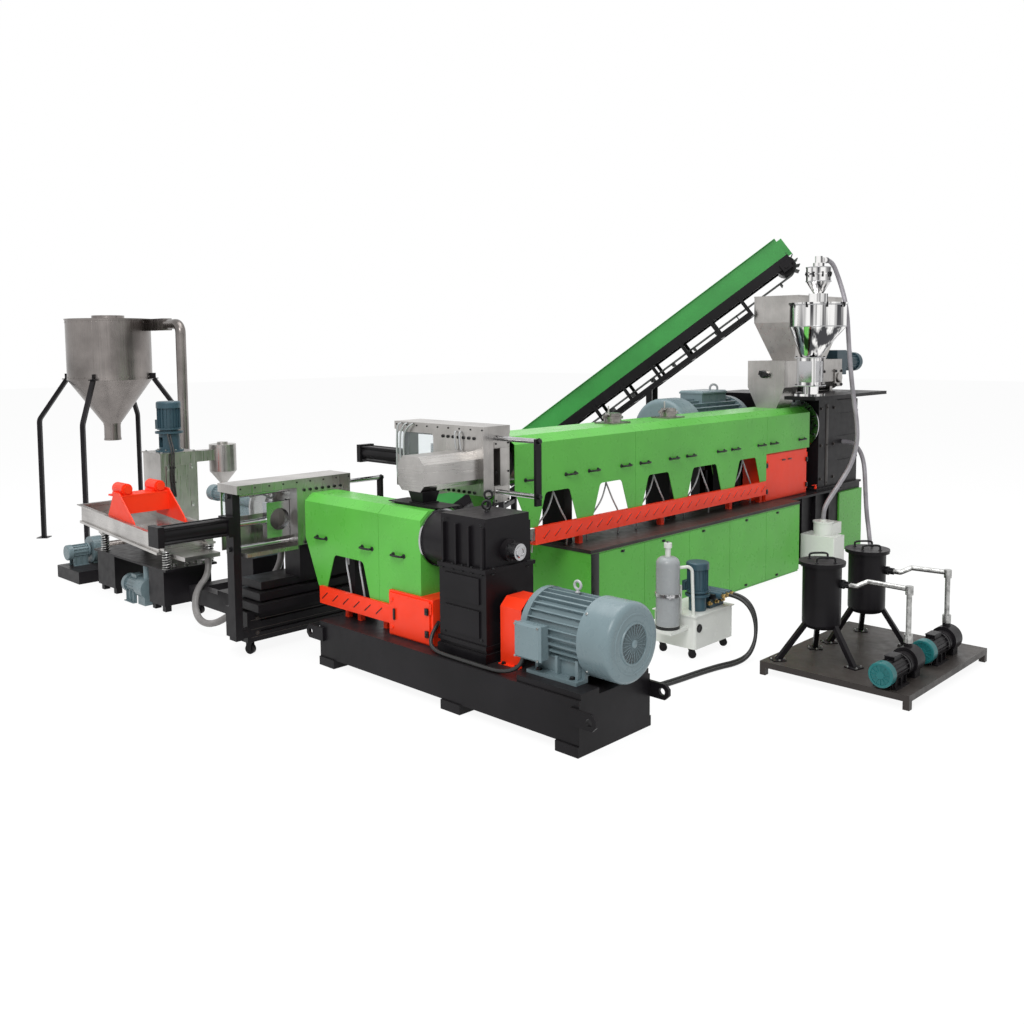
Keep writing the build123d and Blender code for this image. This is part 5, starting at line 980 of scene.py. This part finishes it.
# %% Vacuum unit fittings
TANK_LID = 0.849
TANK_PLACES = (((2.140, -1.430), ((1.864, -1.223), (2.069, -1.730), (2.322, -1.290))),
               ((2.800, -1.480), ((2.539, -1.298), (2.861, -1.779), (3.021, -1.336))))
shape = bmesh.new()
feet = bmesh.new()
for (x, y), legs in TANK_PLACES:
    for side_of in (-1, 1):
        spot = (x + side_of * 0.062, y + side_of * 0.062, TANK_LID)
        bow_handle(shape, spot, (0.7, -0.7, 0), ABOVE, 0.140, 0.042, 0.008)
    turned(shape, [(0.030, 0), (0.030, 0.004), (0.034, 0.012), (0.034, 0.030), (0.026, 0.034),
                   (0.026, 0.070)], facing((x + 0.020, y - 0.140, 0.690), NEAR), 24)
    for fx, fy in legs:
        for dx, dy in ((-0.034, -0.034), (0.034, 0.034), (-0.034, 0.034), (0.034, -0.034)):
            hex_bolt(feet, (fx + dx, fy + dy, 0.111), ABOVE, 0.016, 0.010)
piece("tank_handles", shape, FITTING)
piece("tank_foot_bolts", feet, ZINC)
shape = bmesh.new()
for x in (1.730, 2.440):
    at = facing((x + 0.001, -2.080, 0.212), LEFT)
    turned(shape, [(0.089, -0.060), (0.089, 0.002), (0.084, 0.008), (0.070, 0.010), (0.068, 0.004),
                   (0.030, 0.004), (0.026, 0.010), (0, 0.010)], at, 40)
    for step in range(12):
        turn = Matrix.Rotation(math.pi * step / 6, 4, "Z")
        bar(shape, (0.044, 0.006, 0.006), at @ turn @ Matrix.Translation((0.048, 0, 0.006)), 0.001)
piece("pump_fan_covers", shape, TEAL)

# %% [markdown]
# ## Hydraulic unit
# The gas bottle is clamped by a steel strap and topped by a small valve with a hand wheel. Hoses
# screw into a brass and steel valve block on the oil tank.

# %% Hydraulic fittings
BOTTLE_AT = (1.560, -0.430)
STRAP_HIGH = 0.532
STRAP_EAR = 0.072
shape = bmesh.new()
at = Matrix.Translation((*BOTTLE_AT, STRAP_HIGH))
turned(shape, [(0.094, -0.014), (0.102, -0.012), (0.102, 0.012), (0.094, 0.014)], at, 48)
for dz in (-0.006, 0.006):
    ear = (BOTTLE_AT[0] - STRAP_EAR, BOTTLE_AT[1] - STRAP_EAR, STRAP_HIGH + dz)
    hex_bolt(shape, ear, (-0.7, -0.7, 0), 0.018, 0.014)
tube(shape, [(1.500, -0.530, STRAP_HIGH), (1.460, -0.490, STRAP_HIGH)], 0.007)
turned(shape, [(0.016, 0), (0.016, 0.030), (0.028, 0.034), (0.028, 0.040), (0.012, 0.044),
               (0.012, 0.060)], Matrix.Translation((*BOTTLE_AT, 0.890)), 24)
piece("bottle_strap", shape, TURNED)
shape = bmesh.new()
turned(shape, [(0.0935, 0.262), (0.0950, 0.264), (0.0950, 0.286), (0.0935, 0.288)],
       Matrix.Translation((*BOTTLE_AT, 0)), 48)
piece("bottle_foot", shape, BLACK_RUBBER)
shape = bmesh.new()
dome = [(0.038 + 0.0558 * math.cos(a), 0.775 + 0.0558 * math.sin(a))
        for a in (math.radians(10 * step) for step in range(10))]
turned(shape, [(0.0932, 0.290), (0.0938, 0.292)] + dome + [(0.0225, 0.8312)],
       Matrix.Translation((*BOTTLE_AT, 0)), 64)
piece("bottle_sleeve", shape, BOTTLE)
shape = bmesh.new()
for step in range(3):
    x = 2.030 + 0.062 * step
    for y in (-0.636, -0.350):
        turned(shape, [(0.018, 0), (0.018, 0.020), (0.013, 0.024), (0, 0.024)],
               facing((x, y + 0.004, 0.462), (0, -1 if y < -0.5 else 1, 0)), 6)
for x in (1.965, 2.060, 2.150):
    turned(shape, [(0.020, 0), (0.020, 0.014), (0.012, 0.018), (0.012, 0.034), (0, 0.034)],
           facing((x, -0.541, 0.400), NEAR), 6)
piece("brass_fittings", shape, BRASS)
shape = bmesh.new()
for x, y in ((2.010, -0.560), (2.170, -0.560), (2.090, -0.400)):
    bar(shape, (0.060, 0.050, 0.044), Matrix.Translation((x, y, 0.450)), 0.004)
turned(shape, [(0.034, 0), (0.034, 0.006), (0.026, 0.010), (0.024, 0.004), (0, 0.004)],
       facing((1.745, -0.601, 0.250), NEAR), 28)
piece("valve_blocks", shape, FITTING)

# %% [markdown]
# ## Sieve and silo
# The sieve tray floats on four coil springs wound from thick wire. The silo's sheet is rolled and
# riveted, with a stiffening band round its foot and its rim.

# %% Springs, rivets and bands
coils = bmesh.new()
TURNS = 7
TURN_STEPS = 16
COIL_R = 0.036
SPRING_FOOT = 0.427
SPRING_HIGH = 0.166
for x in (-0.445, -0.005):
    for y in (3.836, 5.150):
        run = []
        for step in range(TURNS * TURN_STEPS + 1):
            angle = 2 * math.pi * step / TURN_STEPS
            z = SPRING_FOOT + SPRING_HIGH * step / (TURNS * TURN_STEPS)
            run.append((x + COIL_R * math.cos(angle), y + COIL_R * math.sin(angle), z))
        tube(coils, run, 0.0065, 8)
        for z in (0.421, 0.592):
            at = Matrix.Translation((x, y, z))
            turned(coils, [(0.046, 0), (0.046, 0.006), (0.020, 0.007)], at, 20)
for x, y in ((-0.120, 3.900), (-0.160, 3.960), (-0.070, 3.850), (-0.250, 3.830), (-0.330, 3.900)):
    hex_bolt(coils, (x, y, 0.420), ABOVE, 0.034, 0.026)
piece("sieve_springs", coils, ZINC)
SILO_AT = (0.935, 7.950)
SILO_SKIN = 0.5195
shape = bmesh.new()
for z, radius in ((2.093, 0.520), (2.845, 0.520), (1.502, 0.1045), (1.300, 0.1035)):
    rim = [(radius - 0.001, -0.014), (radius + 0.004, -0.012), (radius + 0.004, 0.012),
           (radius - 0.001, 0.014)]
    turned(shape, rim, Matrix.Translation((*SILO_AT, z)), 72)
for z in (2.118, 2.818):
    for step in range(36):
        angle = 2 * math.pi * step / 36
        way = Vector((math.cos(angle), math.sin(angle), 0))
        spot = Vector((*SILO_AT, z)) + way * SILO_SKIN
        turned(shape, [(0.008, 0), (0.006, 0.004), (0, 0.006)], facing(spot, way), 8)
for angle in (-136, 44):
    way = Vector((math.cos(math.radians(angle)), math.sin(math.radians(angle)), 0))
    spot = Vector((*SILO_AT, 2.470)) + way * SILO_SKIN
    bar(shape, (0.010, 0.720, 0.005), laid(spot, Vector(ABOVE).cross(way), way), 0.002)
piece("silo_bands", shape, SILO_STEEL)

# %% [markdown]
# ## Dewatering tower
# Two dark cables drop from the centrifuge motor over the edge of the casing and are clipped to
# its front. The front panel is held by small latches.

# %% Dewatering fittings
shape = bmesh.new()
for dx in (0.0, 0.026):
    run = [(0.400 + dx, 5.400, 1.560), (0.392 + dx, 5.350, 1.470), (0.385 + dx, 5.286, 1.372),
           (0.380 + dx, 5.278, 1.250), (0.372 + dx, 5.280, 1.060), (0.392 + dx, 5.282, 0.860)]
    tube(shape, bent(run, 0.4, 4), 0.009)
for z in (1.180, 1.020, 0.870):
    bar(shape, (0.060, 0.016, 0.020), laid((0.396, 5.288, z), RIGHT, NEAR), 0.003)
piece("tower_cables", shape, BLACK_RUBBER)
shape = bmesh.new()
for x in (0.340, 0.620):
    for z in (1.180, 0.760):
        bar(shape, (0.030, 0.056, 0.016), laid((x, 5.296, z), RIGHT, NEAR), 0.004)
for x in (0.290, 0.670):
    for y in (5.330, 5.690):
        hex_bolt(shape, (x, y, 1.345), ABOVE, 0.022, 0.012)
for step in range(8):
    angle = math.pi / 4 * step
    hex_bolt(shape, (0.480 + 0.132 * math.cos(angle), 5.510 + 0.132 * math.sin(angle), 1.361),
             ABOVE, 0.018, 0.010)
piece("tower_latches", shape, ZINC)

# %% [markdown]
# ## Long cabinet and gearbox stand
# The green cabinet's sheets close with small turn latches along their seams, and a black corner
# post shows at its near end. The tall gearbox has a cover strip down its near face.

# %% Cabinet fittings
CABINET_FACE = 0.338
shape = bmesh.new()
for x in (1.975, 2.580, 3.227, 4.003, 4.619):
    for z in (0.704, 0.040):
        at = laid((x, CABINET_FACE, z), RIGHT, NEAR)
        bar(shape, (0.052, 0.018, 0.010), at, 0.003)
        turned(shape, [(0.011, 0), (0.011, 0.010), (0.007, 0.013), (0, 0.013)], at, 14)
bar(shape, (0.105, 0.736, 0.004), laid((1.600, CABINET_FACE, 0.371), RIGHT, NEAR), 0.001)
piece("cabinet_latches", shape, FITTING)
shape = bmesh.new()
bar(shape, (0.062, 0.960, 0.012), laid((6.130, 0.560, 1.290), RIGHT, NEAR), 0.004)
for z in (0.850, 1.290, 1.730):
    cap_screw(shape, (6.130, 0.554, z), NEAR, 0.010, 0.006)
for x in (5.990, 6.300):
    for z in (0.900, 1.290, 1.720):
        hex_bolt(shape, (x, 0.560, z), NEAR, 0.030, 0.014)
piece("gearbox_one_strip", shape, DARK_PLATE)
shape = bmesh.new()
turned(shape, [(0.016, 0), (0.016, 0.030), (0.010, 0.034), (0.010, 0.050), (0, 0.050)],
       Matrix.Translation((5.868, 0.556, 0.799)), 16)
bar(shape, (0.085, 0.018, 0.006), Matrix.Translation((5.838, 0.556, 0.846)), 0.003)
piece("drain_valve", shape, RED)

# %% [markdown]
# ## Heater wiring behind the arches
# Through the arches of the covers one sees pale heat-proof sleeves that run from the heater bands
# down to the wiring tray. They are tied down at both ends and keep their bend.

# %% Heater wiring
shape = bmesh.new()
ARCHES = ((1.130, 1.640), (1.840, 2.350), (2.545, 3.070), (3.274, 3.890), (4.120, 4.645))
for low_x, high_x in ARCHES:
    middle = (low_x + high_x) / 2
    for shift, lean in ((-0.06, 0.16), (0.10, -0.12)):
        run = [(middle + shift + lean, 0.700, 1.430), (middle + shift + lean * 0.6, 0.640, 1.260),
               (middle + shift, 0.625, 1.100), (middle + shift - lean, 0.640, 0.960),
               (middle + shift - lean, 0.660, 0.772)]
        tube(shape, bent(run, 0.4, 4), 0.0075)
for shift in (-0.080, 0.090):
    run = [(-0.120, 1.360 + shift, 0.980), (-0.150, 1.350 + shift, 0.800),
           (-0.150, 1.300 + shift, 0.620), (-0.130, 1.300 + shift, 0.450)]
    tube(shape, bent(run, 0.4, 4), 0.0075)
piece("heater_sleeves", shape, GREY_PAINT)

# %% [markdown]
# ## Feeder end plates, vent probes and hopper rim
# Square end plates with four bolts hold the side feeder's shafts. A thin probe stands on each vent
# port. The open hopper has a folded rim, which stiffens its edge.

# %% Feeder plates and rim
plates = bmesh.new()
bolts = bmesh.new()
for x, z in ((6.200, 2.060), (6.640, 2.060)):
    bar(plates, (0.190, 0.210, 0.016), laid((x, 0.684, z), RIGHT, NEAR), 0.004)
    at = facing((x, 0.676, z), NEAR)
    turned(plates, [(0.060, 0), (0.060, 0.018), (0.046, 0.026), (0.020, 0.026), (0, 0.020)], at, 28)
    for dx in (-0.072, 0.072):
        for dz in (-0.082, 0.082):
            hex_bolt(bolts, (x + dx, 0.676, z + dz), NEAR, 0.026, 0.014)
bar(plates, (0.090, 0.150, 0.050), laid((6.200, 0.668, 2.245), RIGHT, NEAR), 0.006)
for x0, x1, y0, y1 in ((5.562, 6.618, 0.634, 0.646), (5.562, 6.618, 1.194, 1.206),
                       (6.614, 6.626, 0.640, 1.200)):
    middle = Vector(((x0 + x1) / 2, (y0 + y1) / 2, 3.014))
    bar(plates, (x1 - x0, y1 - y0, 0.016), Matrix.Translation(middle), 0.002)
port_top = edge_of("vent_ports", 2, False)
for x in (2.420, 3.300):
    turned(plates, [(0.020, 0), (0.020, 0.014), (0.007, 0.018), (0.007, 0.085), (0, 0.088)],
           Matrix.Translation((x, 0.850, port_top - 0.018)), 18)
piece("feeder_plates", plates, STEEL_UPRIGHT)
piece("feeder_plate_bolts", bolts, FITTING)

# %% [markdown]
# ## A second hydraulic hose
# Pressure and return lines lie side by side. This one leaves the next port of the valve block and
# follows the first along the floor, a hand's width of rubber apart.

# %% Return hose
route = []
first = HOSES["hydraulic_hose"][3]
for step, (x, y, z) in enumerate(first):
    back = min(1.0, (len(first) - 1 - step) / 3)
    apart = min(1.0, step / 4)
    route.append((x - 0.062 * back, y - 0.034 * apart, z))
return_hose = run_curve("return_hose", route, 0.014)
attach(return_hose, "root")
dress(return_hose, BLACK_RUBBER)

# %% [markdown]
# ## Trolley ribs
# The changer trolley is welded from channel sections, whose bright worn edges show as level lines.

# %% Trolley edges
shape = bmesh.new()
for z in (0.150, 0.215, 0.290):
    bar(shape, (1.240, 0.006, 0.006), Matrix.Translation((0.0, 2.0995, z)), 0.002)
for x in (-0.560, 0.560):
    for z in (0.180, 0.300):
        hex_bolt(shape, (x, 2.100, z), NEAR, 0.026, 0.014)
piece("trolley_edges", shape, DARK_PLATE)

# %% [markdown]
# ## Cable to the near motor
# A thick rubber cable leaves the electric box behind the gearbox, lies along the edge of the base
# and rises into the motor's terminal box. It is loose, so it is drawn as a smooth curve of even
# thickness.

# %% Motor cable
route = [(-0.170, 0.328, 0.520), (-0.200, 0.310, 0.510), (-0.268, 0.292, 0.455),
         (-0.300, 0.270, 0.400), (-0.314, 0.200, 0.370), (-0.320, 0.060, 0.366), (-0.322, -0.120, 0.366),
         (-0.324, -0.280, 0.366), (-0.322, -0.420, 0.368), (-0.312, -0.510, 0.385),
         (-0.296, -0.575, 0.420), (-0.286, -0.604, 0.460), (-0.284, -0.612, 0.496)]
motor_cable = run_curve("motor_cable", route, 0.014)
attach(motor_cable, "root")
dress(motor_cable, BLACK_RUBBER)

# %% [markdown]
# ## The size of the visible model
# The box round every visible piece except the floor is worked out and printed.

# %% Finish
low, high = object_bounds()
print("visual box", [round(v, 3) for v in low], [round(v, 3) for v in high])
